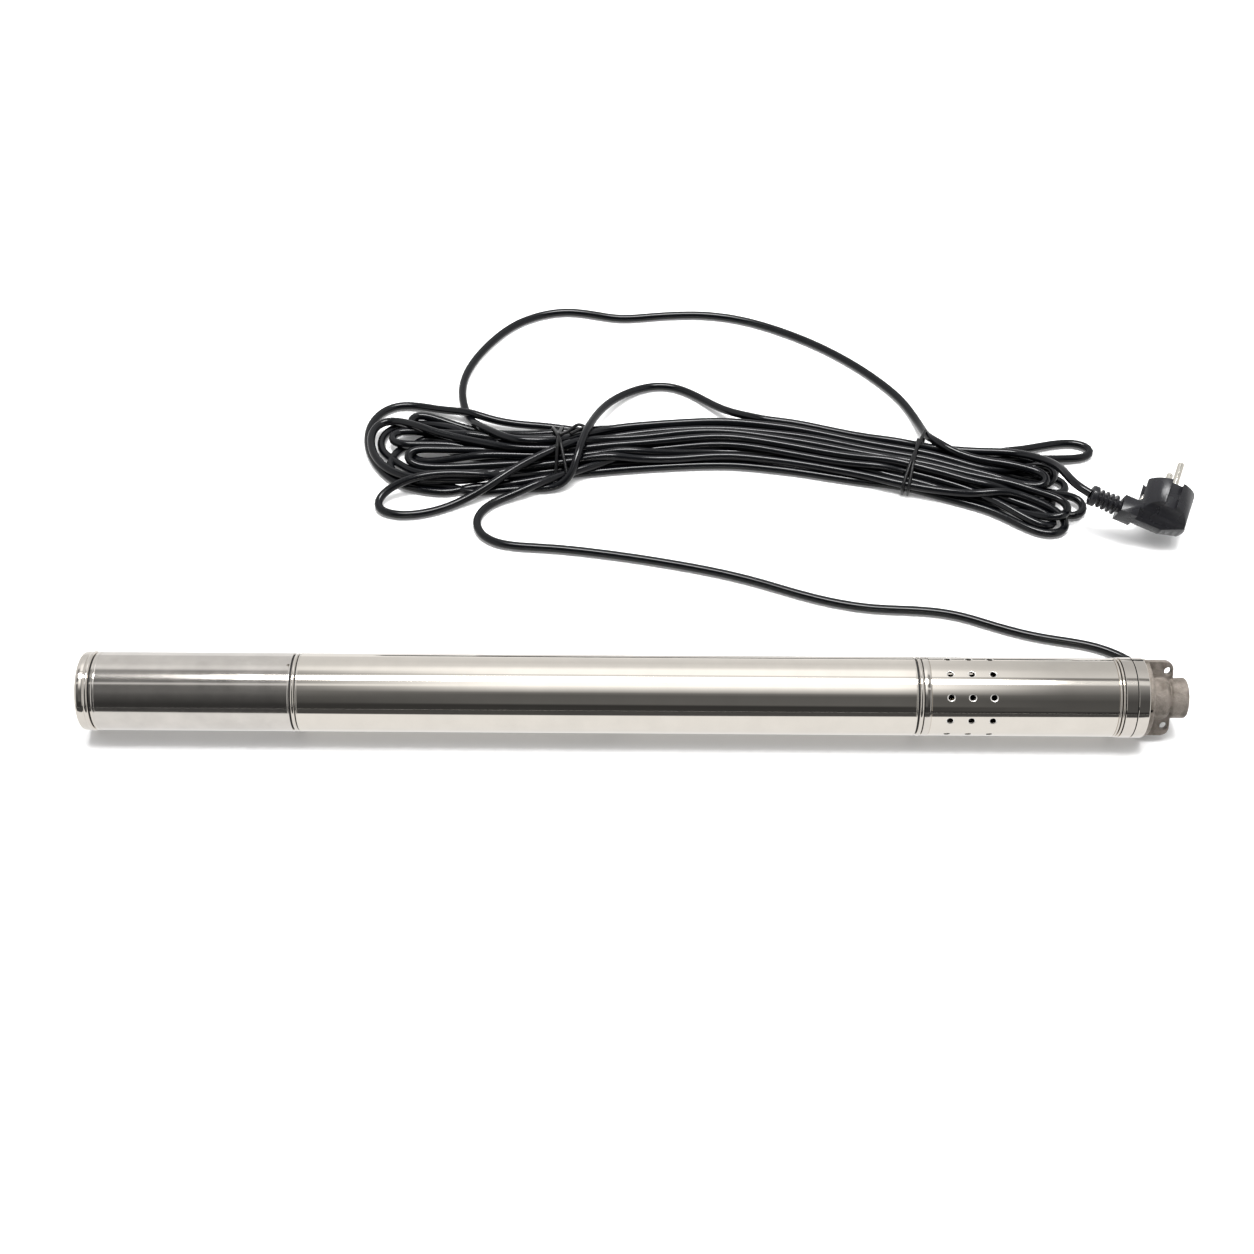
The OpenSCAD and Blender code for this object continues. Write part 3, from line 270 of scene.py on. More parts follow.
def plainMaterial(name):
    colour, metallic, roughness, grain, bump, variation, stretch = finishes[name]
    material, tree, shader, place = startMaterial(name)
    turned = addNode(tree, "Mapping", {"Scale": stretch}, Vector=place).outputs[0]
    fine = addNode(tree, "TexNoise", {"Scale": 1 / (grain * mm), "Detail": 4.0}, Vector=turned).outputs[0]
    wide = addNode(tree, "TexNoise", {"Scale": 1 / (patches["size"] * mm), "Detail": 5.0}, Vector=place)
    base = linear(colour)
    stops = [(patches["low"], darker(base, variation)), (patches["high"], base)]
    shade = addNode(tree, "ValToRGB", {"stops": stops}, Fac=wide.outputs[0]).outputs["Color"]
    tree.links.new(shade, shader.inputs["Base Color"])
    spread = {"To Min": roughness * (1 - 2 * variation), "To Max": roughness * (1 + 3 * variation)}
    rough = addNode(tree, "MapRange", spread, Value=wide.outputs[0]).outputs[0]
    tree.links.new(rough, shader.inputs["Roughness"])
    shader.inputs["Metallic"].default_value = metallic
    if name in dimmerSheen:
        shader.inputs["Specular IOR Level"].default_value = dimmerSheen[name]
    made = addNode(tree, "Bump", {"Distance": bump * mm, "Strength": 1.0}, Height=fine).outputs[0]
    tree.links.new(made, shader.inputs["Normal"])
    return material


# Sizes and depths in millimetres
sandCasting = {
    "colour": "#8a827a", "dark": "#5e564d", "paintedGlint": "#d6cfc5", "metallic": 0.55, "roughness": (0.34, 0.62),
    "grain": 0.7, "grainDepth": 0.25, "speck": 0.9, "speckDepth": 0.45, "stain": 7,
}


def castMaterial():
    # stainless steel cast in fine sand and shot blasted: beige grey and dull; the light specks in its colour
    # are painted glints
    c = sandCasting
    material, tree, shader, place = startMaterial("sand cast stainless steel")
    grains = addNode(tree, "TexVoronoi", {"Scale": 1 / (c["grain"] * mm)}, Vector=place).outputs["Distance"]
    speckle = {"Scale": 1 / (c["speck"] * mm), "Detail": 6.0, "Roughness": 0.75}
    fine = addNode(tree, "TexNoise", speckle, Vector=place).outputs[0]
    cloud = {"Scale": 1 / (c["stain"] * mm), "Detail": 6.0}
    stains = addNode(tree, "TexNoise", cloud, Vector=place).outputs[0]
    stops = [(0.3, linear(c["dark"])), (0.55, linear(c["colour"]))]
    base = addNode(tree, "ValToRGB", {"stops": stops}, Fac=stains).outputs["Color"]
    # painted glints: where the speckle noise is high the colour turns light
    stops = [(0.62, grey(0)), (0.72, grey(0.5))]
    bright = addNode(tree, "ValToRGB", {"stops": stops}, Fac=fine).outputs["Color"]
    colour = addNode(tree, "Mix", {"data_type": "RGBA", 7: linear(c["paintedGlint"])}, _0=bright, _6=base)
    tree.links.new(colour.outputs[2], shader.inputs["Base Color"])
    low, high = c["roughness"]
    rough = addNode(tree, "MapRange", {"To Min": low, "To Max": high}, Value=fine).outputs[0]
    tree.links.new(rough, shader.inputs["Roughness"])
    shader.inputs["Metallic"].default_value = c["metallic"]
    first = addNode(tree, "Bump", {"Distance": c["grainDepth"] * mm, "Strength": 0.8}, Height=grains)
    deep = {"Distance": c["speckDepth"] * mm, "Strength": 1.0}
    second = addNode(tree, "Bump", deep, Height=fine, Normal=first.outputs[0]).outputs[0]
    tree.links.new(second, shader.inputs["Normal"])
    return material


# Which finish each slot of the record takes
slotFinishes = {
    "polished_steel": "polished drawn stainless tube",
    "satin_steel": "turned stainless steel",
    "cast_head": "sand cast stainless steel",
    "cast_bells": "machined cast iron",
    "black_rubber": "moulded nitrile rubber",
    "cable_sheath": "extruded PVC sheath",
    "black_plastic": "injection moulded PVC",
    "white_plastic": "white ABS",
    "brass": "machined brass",
    "copper_wire": "enamelled copper wire",
    "laminations": "stacked sheet steel",
    "ceramic": "lapped ceramic",
    "carbon": "lapped carbon",
    "ground_steel": "ground bearing steel",
    "hard_chrome": "hard chrome plate",
    "nickel_plate": "nickel plated brass",
}


def makeMaterials():
    made = {name: plainMaterial(name) for name in finishes}
    made["sand cast stainless steel"] = castMaterial()
    return made


# The bundle of strands: x, y of its middle, and half the width over the strands' middles
hankSpine = [
    (-158, 249, 38), (-116, 246, 31), (-86, 246, 25), (-56, 249, 21), (3, 257, 21), (63, 264, 21),
    (93, 261, 21), (123, 256, 20.5), (152, 248, 19.5), (181, 240, 18), (206, 235, 18), (240, 226, 22),
    (268, 217, 26), (285, 213, 30),
]
# The straight runs between the folds: their ends, the heights of the three layers, the distance between
# points, and how each strand wanders to the side: size, length and pace
runs = {
    "left": -112, "right": 252, "layers": (3, 8.5, 14), "step": 26, "wander": ((1.6, 61, 1), (0.9, 29, 2.1)),
}


def strand(first, last, layer, start, end, phase):
    # lateral places run from -18 on the pump's side of the bundle to 18 on the far side
    xs, ys, widths = zip(*hankSpine)
    points = []
    count = max(2, round(abs(end - start) / runs["step"]))
    for i in range(count + 1):
        share = i / count
        x = start + (end - start) * share
        lateral = first + (last - first) * share
        for size, length, pace in runs["wander"]:
            lateral += size * math.sin(x / length + pace * phase)
        y = float(np.interp(x, xs, ys) + lateral * np.interp(x, xs, widths) / 18)
        points.append((x, y, runs["layers"][layer]))
    return points


def toRight(first, last, layer, phase, start=None):
    return strand(first, last, layer, runs["left"] if start is None else start, runs["right"], phase)


def toLeft(first, last, layer, phase, end=None):
    return strand(first, last, layer, runs["right"], runs["left"] if end is None else end, phase)


def fold(x, y, radius, heading, z0, z1, way):
    # a hairpin round (x, y), its tip towards heading; way is 1 for anticlockwise
    points = []
    for i in range(9):
        angle = math.radians(heading + way * (-100 + 200 * i / 8))
        points.append((x + radius * math.cos(angle), y + radius * math.sin(angle), z0 + (z1 - z0) * i / 8))
    return points


def catmull(points, spacing):
    p = np.array(points, float)
    p = np.vstack([2 * p[0] - p[1], p, 2 * p[-1] - p[-2]])
    out = []
    for i in range(1, len(p) - 2):
        a, b, c, d = p[i - 1 : i + 3]
        for t in np.linspace(0, 1, 12, endpoint=False):
            square = (2 * a - 5 * b + 4 * c - d) * t**2
            cube = (3 * b - 3 * c + d - a) * t**3
            out.append(0.5 * (2 * b + (c - a) * t + square + cube))
    out.append(p[-2])
    return evenSteps(np.array(out), spacing)


def evenSteps(line, spacing):
    along = np.concatenate([[0], np.cumsum(np.linalg.norm(np.diff(line, axis=0), axis=1))])
    at = np.linspace(0, along[-1], max(2, round(along[-1] / spacing)))
    return np.stack([np.interp(at, along, line[:, k]) for k in range(3)], axis=1)


def evened(p, passes):
    for _ in range(passes):
        p[1:-1] += 0.5 * (0.5 * (p[:-2] + p[2:]) - p[1:-1])
    return p


def nearPairs(p, reach, skip):
    first, second = [], []
    for start in range(0, len(p), 300):
        block = p[start : start + 300]
        gap = ((block[:, None, :] - p[None, :, :]) ** 2).sum(2)
        i, j = np.nonzero(gap < reach * reach)
        i = i + start
        keep = j - i > skip
        first.append(i[keep])
        second.append(j[keep])
    return np.concatenate(first), np.concatenate(second)


# How the strands settle: rounds, how much sinks in each, and how hard strands are pushed apart;
# the points at the head and at the plug are held
settling = {
    "rounds": 240, "quickRounds": 60, "sinking": 0.8, "sink": 0.05, "slack": 0.99, "push": 0.42,
    "crowd": 0.25, "spread": 0.25, "near": 1.7, "search": 8, "headHeld": 12, "plugHeld": 30,
}


def settled(guide, rounds):
    # pushes the strands apart until none is inside another, and lets them sink on to the floor
    s = settling
    shift = np.zeros_like(guide)
    free = np.ones(len(guide))
    free[: s["headHeld"]] = np.linspace(0, 1, s["headHeld"]) ** 2
    free[-s["plugHeld"] :] = np.linspace(1, 0, s["plugHeld"])
    size = 2 * cableRadius
    for step in range(rounds):
        p = guide + shift
        if step % s["search"] == 0:
            i, j = nearPairs(p, size * s["near"], 6)
        if step < rounds * s["sinking"]:
            shift *= s["slack"]
            shift[:, 2] -= s["sink"]
        apart = p[i] - p[j]
        gap = np.linalg.norm(apart, axis=1)
        apart[gap < 1e-3] = (0, 0, -1)
        gap = np.maximum(gap, 1e-3)
        push = np.maximum(size - gap, 0)[:, None] * s["push"] * apart / gap[:, None]
        total = np.zeros_like(p)
        count = np.ones(len(p))
        np.add.at(total, i, push)
        np.add.at(total, j, -push)
        hit = push.any(axis=1)
        np.add.at(count, i[hit], s["crowd"])
        np.add.at(count, j[hit], s["crowd"])
        shift += total / count[:, None]
        for _ in range(2):
            shift[1:-1] += s["spread"] * (0.5 * (shift[:-2] + shift[2:]) - shift[1:-1])
        shift[:, 2] = np.maximum(shift[:, 2], cableRadius - guide[:, 2])
        shift *= free[:, None]
    return guide + shift


# The stretches that lie by themselves, in millimetres: from the head to the bundle
lead = [
    (325.6, 8.41, 7.46), (333, 8.41, 7.46), (340.5, 11, 7.3), (344.5, 19, 6.8), (343.5, 29, 5.8),
    (339, 39.5, 4.6), (331, 49, 3.6), (321, 57, 3.2), (310, 62.5, 3), (297, 66, 3), (271, 71, 3),
    (245, 80, 3), (219, 91, 3), (192, 95, 3), (165, 96, 3), (138, 101, 3), (111, 110, 3), (84, 121, 3),
    (56, 130, 3), (28, 137, 3), (0, 143, 3), (-28, 148, 3), (-57, 152, 3), (-86, 154, 3), (-100, 157, 3),
    (-111, 166, 3), (-115, 178, 3), (-111, 190, 3), (-102, 199, 3), (-89, 205, 3), (-74, 212, 4),
    (-58, 220, 6), (-40, 229, 8),
]
# the folds at the closed end of the bundle, each from the far side round to the near side
outerFold = [
    (-63, 277, 9), (-102, 281, 8), (-129, 290, 6), (-149, 297, 4), (-167, 303, 3), (-180, 304, 3),
    (-192, 297, 3), (-199, 283, 3), (-200, 266, 3), (-195, 247, 3), (-186, 233, 3), (-173, 221, 3),
    (-154, 213, 3), (-131, 211, 3), (-106, 215, 3), (-85, 221, 3),
]
topFold = [
    (-70, 243, 15), (-100, 247, 14), (-116, 253, 12), (-139, 261, 11), (-157, 267, 10), (-178, 279, 9),
    (-187, 281, 9), (-194, 277, 9), (-198, 267, 9), (-197, 254, 9), (-193, 240, 9), (-184, 228, 9),
    (-172, 220, 9), (-160, 217, 9), (-142, 214, 9), (-113, 214, 9),
]
innerFold = [
    (-116, 258, 8), (-140, 273, 8), (-162, 281, 7), (-180, 279, 5), (-190, 267, 3), (-188, 252, 3),
    (-177, 241, 3), (-162, 231, 4), (-136, 225, 5),
]
# the loop on the pump's side, which comes back over the bundle
lowerLoop = [
    (-98, 218, 12), (-119, 217, 14), (-140, 216, 15), (-158, 213, 15), (-171, 210, 12.5), (-181, 205, 9),
    (-188, 198, 5), (-187, 190, 3), (-177, 185, 3), (-163, 184, 3), (-144, 189, 3), (-127, 199, 4),
    (-111, 209, 8), (-95, 221, 13), (-78, 231, 17), (-59, 240, 18), (-45, 246, 18), (-19, 252, 17),
    (3, 255, 16),
]
# the folds at the plug's end
lowFold = [
    (270, 186, 3), (284, 175, 3), (297, 169, 3), (306, 172, 3), (311, 179, 3), (305, 187, 5), (285, 195, 8),
    (264, 203, 9),
]
highFold = [
    (268, 249, 11), (284, 254, 8), (299, 260, 6), (317, 265, 4), (332, 265, 3), (341, 256, 3),
    (333, 248, 4), (316, 247, 5), (297, 244, 7), (275, 240, 9),
]
wideLoop = [
    (240, 236, 14), (224, 244, 15), (215, 258, 13), (214, 274, 8), (209, 296, 4), (199, 318, 3),
    (174, 349, 3), (145, 375, 3), (114, 395, 3), (83, 409, 3), (51, 415, 3), (16, 413, 3), (-13, 409, 3),
    (-36, 415, 3), (-62, 418, 3), (-94, 404, 3), (-117, 375, 3), (-130, 347, 3), (-134, 325, 3),
    (-132, 306, 3), (-127, 288, 6), (-119, 273, 11), (-107, 259, 17), (-94, 248, 20), (-81, 244, 20),
    (-66, 245, 19), (-45, 253, 17),
]
smallArc = [
    (-120, 211, 3), (-96, 213, 3), (-76, 213, 3), (-58, 214, 3), (-48, 221, 7), (-45, 230, 14),
    (-42, 241, 19), (-38, 253, 20), (-34, 267, 19), (-29, 283, 16), (-20, 302, 12), (-5, 319, 7),
    (13, 328, 4), (31, 326, 3), (48, 314, 5), (61, 300, 8), (74, 287, 12), (94, 274, 15),
]
tail = [
    (270, 243, 14), (282, 240, 14.5), (291, 234, 17.5), (297.5, 227, 20.5), (301.5, 220, 23.5),
    (304, 213, 27), (305, 206, 30), (305.2, 200.5, 32.3), (305.6, 195, 34), (306.8, 190, 34.9),
    (308.9, 185.9, 34.9), (311.9, 182.9, 34.3), (315.3, 181, 33.6), (319, 179.9, 32.6),
]


def cableGuide():
    points = lead + toRight(-8, -14, 1, 0.3, 0) + fold(292, 182, 9.5, -25, 8, 8, 1)
    points += toLeft(-9, -5, 1, 1.1) + fold(-162, 241, 9.5, 180, 6, 9, -1)
    points += toRight(1, -2, 1, 2.3) + fold(294, 201, 10, -20, 8, 4, -1)
    points += toLeft(-5, -8, 0, 0.7) + innerFold[::-1]
    points += toRight(7, 9, 0, 3.9) + fold(304, 215, 10, -10, 4, 3, -1)
    points += toLeft(3, 3, 0, 5.1) + fold(-174, 261, 9.5, 180, 5, 9, -1)
    points += toRight(9, 10, 1, 1.9) + fold(300, 228, 9.5, 0, 6, 4, 1)
    points += toLeft(14, 10, 0, 4.4) + fold(-163, 277, 9.5, 180, 5, 10, -1)
    points += toRight(14, 14, 1, 2.8) + highFold
    points += toLeft(12, 17, 1, 0.1, -30) + outerFold
    points += toRight(-18, -18, 0, 3.3, -60) + lowFold
    points += toLeft(-15, -16, 1, 1.5, -90) + topFold[::-1]
    points += toRight(-2, -11, 2, 5.6, -40) + fold(313, 195, 11, -20, 8, 3, -1)
    points += toLeft(-12, -14, 0, 2.0, -75) + lowerLoop
    points += toRight(1, -7, 2, 3.0, 30) + fold(301, 189, 10, -25, 12, 9, -1)
    points += toLeft(-16, -2, 1, 4.9) + fold(-158, 252, 12, 180, 3, 3, -1)
    points += toRight(6, 2, 2, 1.3) + fold(289, 212, 10, -10, 12, 13, 1) + wideLoop
    points += toRight(7, 5, 2, 0.9, -20) + fold(297, 222, 10, -5, 11, 6, -1)
    points += toLeft(1, -3, 0, 3.6) + fold(-156, 238, 24, 180, 3, 3, 1)
    points += smallArc + strand(15, 14, 2, 120, 250, 2.6) + tail
    return catmull(points, 4.0)


def newCurve(name, radius, roundness):
    curve = bpy.data.curves.new(name, "CURVE")
    curve.dimensions = "3D"
    curve.bevel_depth = radius * mm
    curve.bevel_resolution = roundness
    curve.use_fill_caps = True
    return curve


def addLine(curve, points, closed=False):
    line = curve.splines.new("POLY")
    line.points.add(len(points) - 1)
    for point, spot in zip(line.points, points):
        point.co = (*[v * mm for v in spot], 1)
    line.use_cyclic_u = closed
    line.use_smooth = True


def makeCable(materials):
    guide = evened(cableGuide(), 8)
    guide = settled(guide, settling["rounds"])
    guide = evenSteps(evened(guide, 3), 3.0)
    curve = newCurve("cable", cableRadius, 5)
    addLine(curve, guide)
    cable = bpy.data.objects.new("cable", curve)
    bpy.context.scene.collection.objects.link(cable)
    cable.data.materials.append(materials["extruded PVC sheath"])
    length = float(np.linalg.norm(np.diff(guide, axis=0), axis=1).sum()) * mm
    i, j = nearPairs(guide, cableRadius * 1.85, 8)
    print("cable", round(length, 2), "m,", len(guide), "points,", len(set(i.tolist())), "too close")
    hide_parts("supply_cable", "cable_hank", "cable_loop", "cable_arc", "cable_tail")
    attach(cable, "pump")
    return cable, guide


# The binding wires: each turn goes round the bundle from x at its near side to x at its far side
ties = {
    "leftTie": {
        "turns": [(-51, -62), (-58, -55)],
        "loop": [(-56, 250), (-50, 264), (-43, 272), (-37, 268), (-40, 259), (-48, 252)],
    },
    "rightTie": {"turns": [(194, 212), (198, 209)], "loop": []},
}
# The wire, and the strands that a turn is wrapped round: how far along and to the side they may lie
tieWire = {"radius": 1.23, "bite": 0.8, "lift": 1.4, "sides": 48, "along": 3, "aside": 27, "width": 46}


def bundleWrap(guide, nearX, farX):
    # the convex outline of the strands that the turn passes, a wire's radius outside them
    w = tieWire
    middle = (nearX + farX) / 2
    y = float(np.interp(middle, [s[0] for s in hankSpine], [s[1] for s in hankSpine]))
    lean = (farX - nearX) / w["width"]
    close = guide[np.abs(guide[:, 0] - middle - (guide[:, 1] - y) * lean) < w["along"]]
    close = close[np.abs(close[:, 1] - y) < w["aside"]]
    points = []
    for i in range(w["sides"]):
        angle = 2 * math.pi * i / w["sides"]
        out = np.array([math.cos(angle), math.sin(angle)])
        best = close[np.argmax(close[:, 1:] @ out)]
        spot = best[1:] + out * (cableRadius + w["radius"] * w["bite"])
        points.append((middle + (spot[0] - y) * lean, spot[0], max(spot[1], w["radius"])))
    return np.array(points)


def heightAt(guide, x, y):
    flat = np.hypot(guide[:, 0] - x, guide[:, 1] - y)
    near = guide[flat < cableRadius + 1]
    return float(near[:, 2].max() + cableRadius) if len(near) else 0.0


def makeTies(guide, materials):
    made = []
    for name, tie in ties.items():
        curve = newCurve(name, tieWire["radius"], 3)
        for turn in tie["turns"]:
            addLine(curve, bundleWrap(guide, *turn), True)
        if tie["loop"]:
            lift = tieWire["radius"] * tieWire["lift"]
            spots = [(x, y, heightAt(guide, x, y) + lift) for x, y in tie["loop"]]
            addLine(curve, catmull(spots, 1.5))
        obj = bpy.data.objects.new(name, curve)
        bpy.context.scene.collection.objects.link(obj)
        obj.data.materials.append(materials["coated binding wire"])
        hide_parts("cable_ties")
        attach(obj, "pump")
        made.append(obj)
    return made


# In metres and millimetres of lens; tilt in degrees and turn in radians
cameraSettings = {
    "place": (0.00206, -0.7357, 0.9066), "tilt": 42, "turn": 0.0086, "sensor": 36, "lens": 51.62,
}


def makeCamera():
    data = bpy.data.cameras.new("camera")
    camera = bpy.data.objects.new("camera", data)
    bpy.context.scene.collection.objects.link(camera)
    data.sensor_width = cameraSettings["sensor"]
    data.lens = cameraSettings["lens"]
    camera.location = cameraSettings["place"]
    camera.rotation_euler = (math.radians(cameraSettings["tilt"]), 0, cameraSettings["turn"])
    bpy.context.scene.camera = camera


# Brightness of the studio round the pump's axis: degrees from +Y towards +Z, and light.
# The soft boxes overhead are shorter than the pump, so the two ends see a dimmer, streaky sky.
studioMiddle = [
    (-90, 0.6), (-40, 0.87), (4, 0.87), (26, 0.79), (43, 0.92), (54, 1.4), (71, 1.4), (73, 0.8), (75, 0.8),
    (77, 1.5), (106, 1.5), (112, 1.1), (120, 0.66), (128, 0.2), (134, 0.13), (159, 0.14), (164, 0.04),
    (180, 0.05), (186, 0.03),
]
studioLeft = [
    (-90, 0.6), (-40, 0.83), (4, 0.78), (43, 0.82), (55, 0.98), (61, 0.92), (67, 0.34), (77, 0.36),
    (84, 0.62), (91, 0.3), (97, 0.2), (104, 0.2), (106, 0.75), (110, 0.75), (112, 0.18), (132, 0.18),
    (143, 0.11), (157, 0.07), (168, 0.045),
]
studioRight = [
    (-90, 0.6), (-40, 0.7), (4, 0.6), (43, 0.64), (68, 0.76), (72, 0.76), (74, 0.26), (80, 0.26), (83, 0.9),
    (92, 0.95), (98, 0.4), (112, 0.26), (125, 0.145), (143, 0.09), (172, 0.1), (177, 0.03), (192, 0.02),
]
stripLight = {"table": [(80, 0), (83, 1), (91, 1), (94, 0)], "strength": 32.0, "reach": (0.15, 0.23)}
# Where the tables give way to each other, as the sideways part of the direction
studioSides = {"left": (-0.07, -0.21), "right": (0.14, 0.23)}
# What lights the matt sheet: mostly from above and behind, little from the camera's side
ambient = [(-90, 0.95), (92, 0.95), (132, 0.12), (270, 0.12)]
sidePanels = {"from": 0.42, "to": 0.56, "light": 0.8}


def byAngle(table):
    return {"stops": [((degrees + 90) / 360, grey(light)) for degrees, light in table]}


def makeWorld():
    world = bpy.data.worlds.new("studio")
    bpy.context.scene.world = world
    world.use_nodes = True
    tree = world.node_tree
    colours = {"data_type": "RGBA"}
    direction = addNode(tree, "TexCoord").outputs["Generated"]
    split = addNode(tree, "SeparateXYZ", None, Vector=direction).outputs
    angle = addNode(tree, "Math", {"operation": "ARCTAN2"}, _0=split[2], _1=split[1]).outputs[0]
    # atan2 gives -180 to 180 degrees; what is below -90 is the sky behind the camera, under the floor
    turn = {"From Min": -math.pi / 2, "From Max": math.pi, "To Max": 0.75}
    share = addNode(tree, "MapRange", turn, Value=angle).outputs[0]
    middle, left, right, strip, soft = [
        addNode(tree, "ValToRGB", byAngle(table), Fac=share).outputs["Color"]
        for table in (studioMiddle, studioLeft, studioRight, stripLight["table"], ambient)
    ]
    leftShare, rightShare = [
        addNode(tree, "MapRange", {"From Min": near, "From Max": far}, Value=split[0]).outputs[0]
        for near, far in (studioSides["left"], studioSides["right"])
    ]
    sky = addNode(tree, "Mix", colours, _0=leftShare, _6=middle, _7=left).outputs[2]
    sky = addNode(tree, "Mix", colours, _0=rightShare, _6=sky, _7=right).outputs[2]
    # a narrow strip light over the pump draws the thin highlights on the black cable
    sideways = addNode(tree, "Math", {"operation": "ABSOLUTE"}, _0=split[0]).outputs[0]
    near, far = stripLight["reach"]
    fading = {"From Min": near, "From Max": far, "To Min": stripLight["strength"], "To Max": 0.0}
    reach = addNode(tree, "MapRange", fading, Value=sideways).outputs[0]
    glow = addNode(tree, "VectorMath", {"operation": "SCALE"}, _0=strip, Scale=reach).outputs[0]
    sky = addNode(tree, "VectorMath", {"operation": "ADD"}, _0=sky, _1=glow).outputs[0]
    # panels past both ends of the table light the sloping sides of beads and grooves
    ends = {"From Min": sidePanels["from"], "From Max": sidePanels["to"]}
    panels = addNode(tree, "MapRange", ends, Value=sideways).outputs[0]
    sky = addNode(tree, "Mix", {**colours, 7: grey(sidePanels["light"])}, _0=panels, _6=sky).outputs[2]
    rays = addNode(tree, "LightPath").outputs
    sky = addNode(tree, "Mix", colours, _0=rays["Is Diffuse Ray"], _6=sky, _7=soft).outputs[2]
    sky = addNode(tree, "Mix", {**colours, 7: grey(1)}, _0=rays["Is Camera Ray"], _6=sky).outputs[2]
    tree.links.new(sky, tree.nodes["Background"].inputs["Color"])


# The sheet: its colour and glow for the camera, and the card that metal sees in it, up to its front edge
floorSettings = {
    "size": 12, "colour": 0.8, "roughness": 0.9, "sheen": 0.1, "glow": 0.13, "card": 0.94, "unlit": 0.03,
    "edge": -0.141, "skew": 0.085, "bow": 0.35, "fade": 0.009,
}


def makeFloor():
    f = floorSettings
    deselect()
    bpy.ops.mesh.primitive_plane_add(size=f["size"], location=(0, 0, 0))
    floor = bpy.context.object
    floor.name = "floor"
    material, tree, shader, place = startMaterial("matt white paper")
    shader.inputs["Roughness"].default_value = f["roughness"]
    shader.inputs["Specular IOR Level"].default_value = f["sheen"]
    rays = addNode(tree, "LightPath").outputs
    # metal sees an evenly lit sheet up to its front edge, and the unlit studio beyond
    split = addNode(tree, "SeparateXYZ", None, Vector=place).outputs
    blend = {"operation": "MULTIPLY_ADD"}
    slope = addNode(tree, "Math", {**blend, 1: f["bow"], 2: f["skew"]}, _0=split[0]).outputs[0]
    across = addNode(tree, "Math", blend, _0=split[0], _1=slope, _2=split[1]).outputs[0]
    edge = {"From Min": f["edge"] - f["fade"], "From Max": f["edge"] + f["fade"]}
    lit = addNode(tree, "MapRange", edge, Value=across).outputs[0]
    card = addNode(tree, "Math", {"operation": "MULTIPLY"}, _0=lit, _1=rays["Is Glossy Ray"]).outputs[0]
    shine = addNode(tree, "Math", {"operation": "MULTIPLY", 1: f["card"]}, _0=card).outputs[0]
    glow = addNode(tree, "Math", {**blend, 1: f["glow"]}, _0=rays["Is Camera Ray"], _2=shine).outputs[0]
    shader.inputs["Emission Color"].default_value = grey(1)
    tree.links.new(glow, shader.inputs["Emission Strength"])
    paper = {"data_type": "RGBA", 6: grey(f["colour"]), 7: grey(f["unlit"])}
    colour = addNode(tree, "Mix", paper, _0=rays["Is Glossy Ray"]).outputs[2]
    tree.links.new(colour, shader.inputs["Base Color"])
    floor.data.materials.append(material)


# Place and size in metres, power in watts
softBoxes = {
    "top soft box": {"place": (0.15, 0.35, 1.3), "size": (1.6, 0.9), "power": 25},
    "back soft box": {"place": (0.3, 1.5, 0.9), "size": (1.8, 0.8), "power": 7},
}
lampTarget = (0, 0.1, 0)


def makeLamps():
    for name, box in softBoxes.items():
        data = bpy.data.lights.new(name, "AREA")
        data.shape = "RECTANGLE"
        data.size, data.size_y = box["size"]
        data.energy = box["power"]
        lamp = bpy.data.objects.new(name, data)
        lamp.location = box["place"]
        facing = Vector(lampTarget) - Vector(box["place"])
        lamp.rotation_euler = facing.to_track_quat("-Z", "Y").to_euler()
        lamp.visible_glossy = False
        bpy.context.scene.collection.objects.link(lamp)


def finishPiece(obj, material, nodes, degrees=32):
    smooth(obj, degrees)
    obj.data.materials.clear()
    obj.data.materials.append(material)
    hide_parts(*nodes)
    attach(obj, "pump")
    return obj


def reachOf(face):
    # how far a face lies from the pump's axis, in millimetres
    return math.hypot(face.center.y, face.center.z - axisHeight * mm) / mm


# Depth of the painted shadow at the bottom of the seams
seams = {"deep": 1.2, "shallow": 0.55}


def paintSeamShadow(obj, materials, start, length):
    # painted shadow: the bottoms of the grooves between the parts are coloured black
    obj.data.materials.append(materials["painted seam shadow"])
    for face in obj.data.polygons:
        inGroove = tubeRadius - seams["deep"] < reachOf(face) < tubeRadius - seams["shallow"]
        if inGroove and abs(face.normal.x) < 0.5 and start < face.center.x / mm < start + length:
            face.material_index = 1


def onAxis(name, station, outline, steps=256):
    return spun(name, outline, (stations[station], 0, axisHeight), steps=steps)


def finishRing(name, station, node, outline, length, materials):
    obj = onAxis(name, station, outline)
    finishPiece(obj, materials["turned stainless steel"], [node])
    # the groove bottoms get the painted shadow
    paintSeamShadow(obj, materials, stations[station], length)


tube = {
    "wall": 1.0, "fit": 0.05, "lip": 0.2, "wideLip": 1.9, "narrowLip": 1.0, "capacitor": 124, "motor": 389.6,
}
bore = tubeRadius - tube["wall"]
seat = bore - tube["fit"]


def tubeOutline(length, left, right):
    outline = [(0, bore)] + beadPoints(0, left, tubeRadius, tube["lip"])
    outline += beadPoints(length - right, length, tubeRadius, tube["lip"])
    return outline + [(length, bore), (0, bore)]


lockScrew = {"clock": 88, "back": 1.4, "radius": 1.05, "depth": 6}


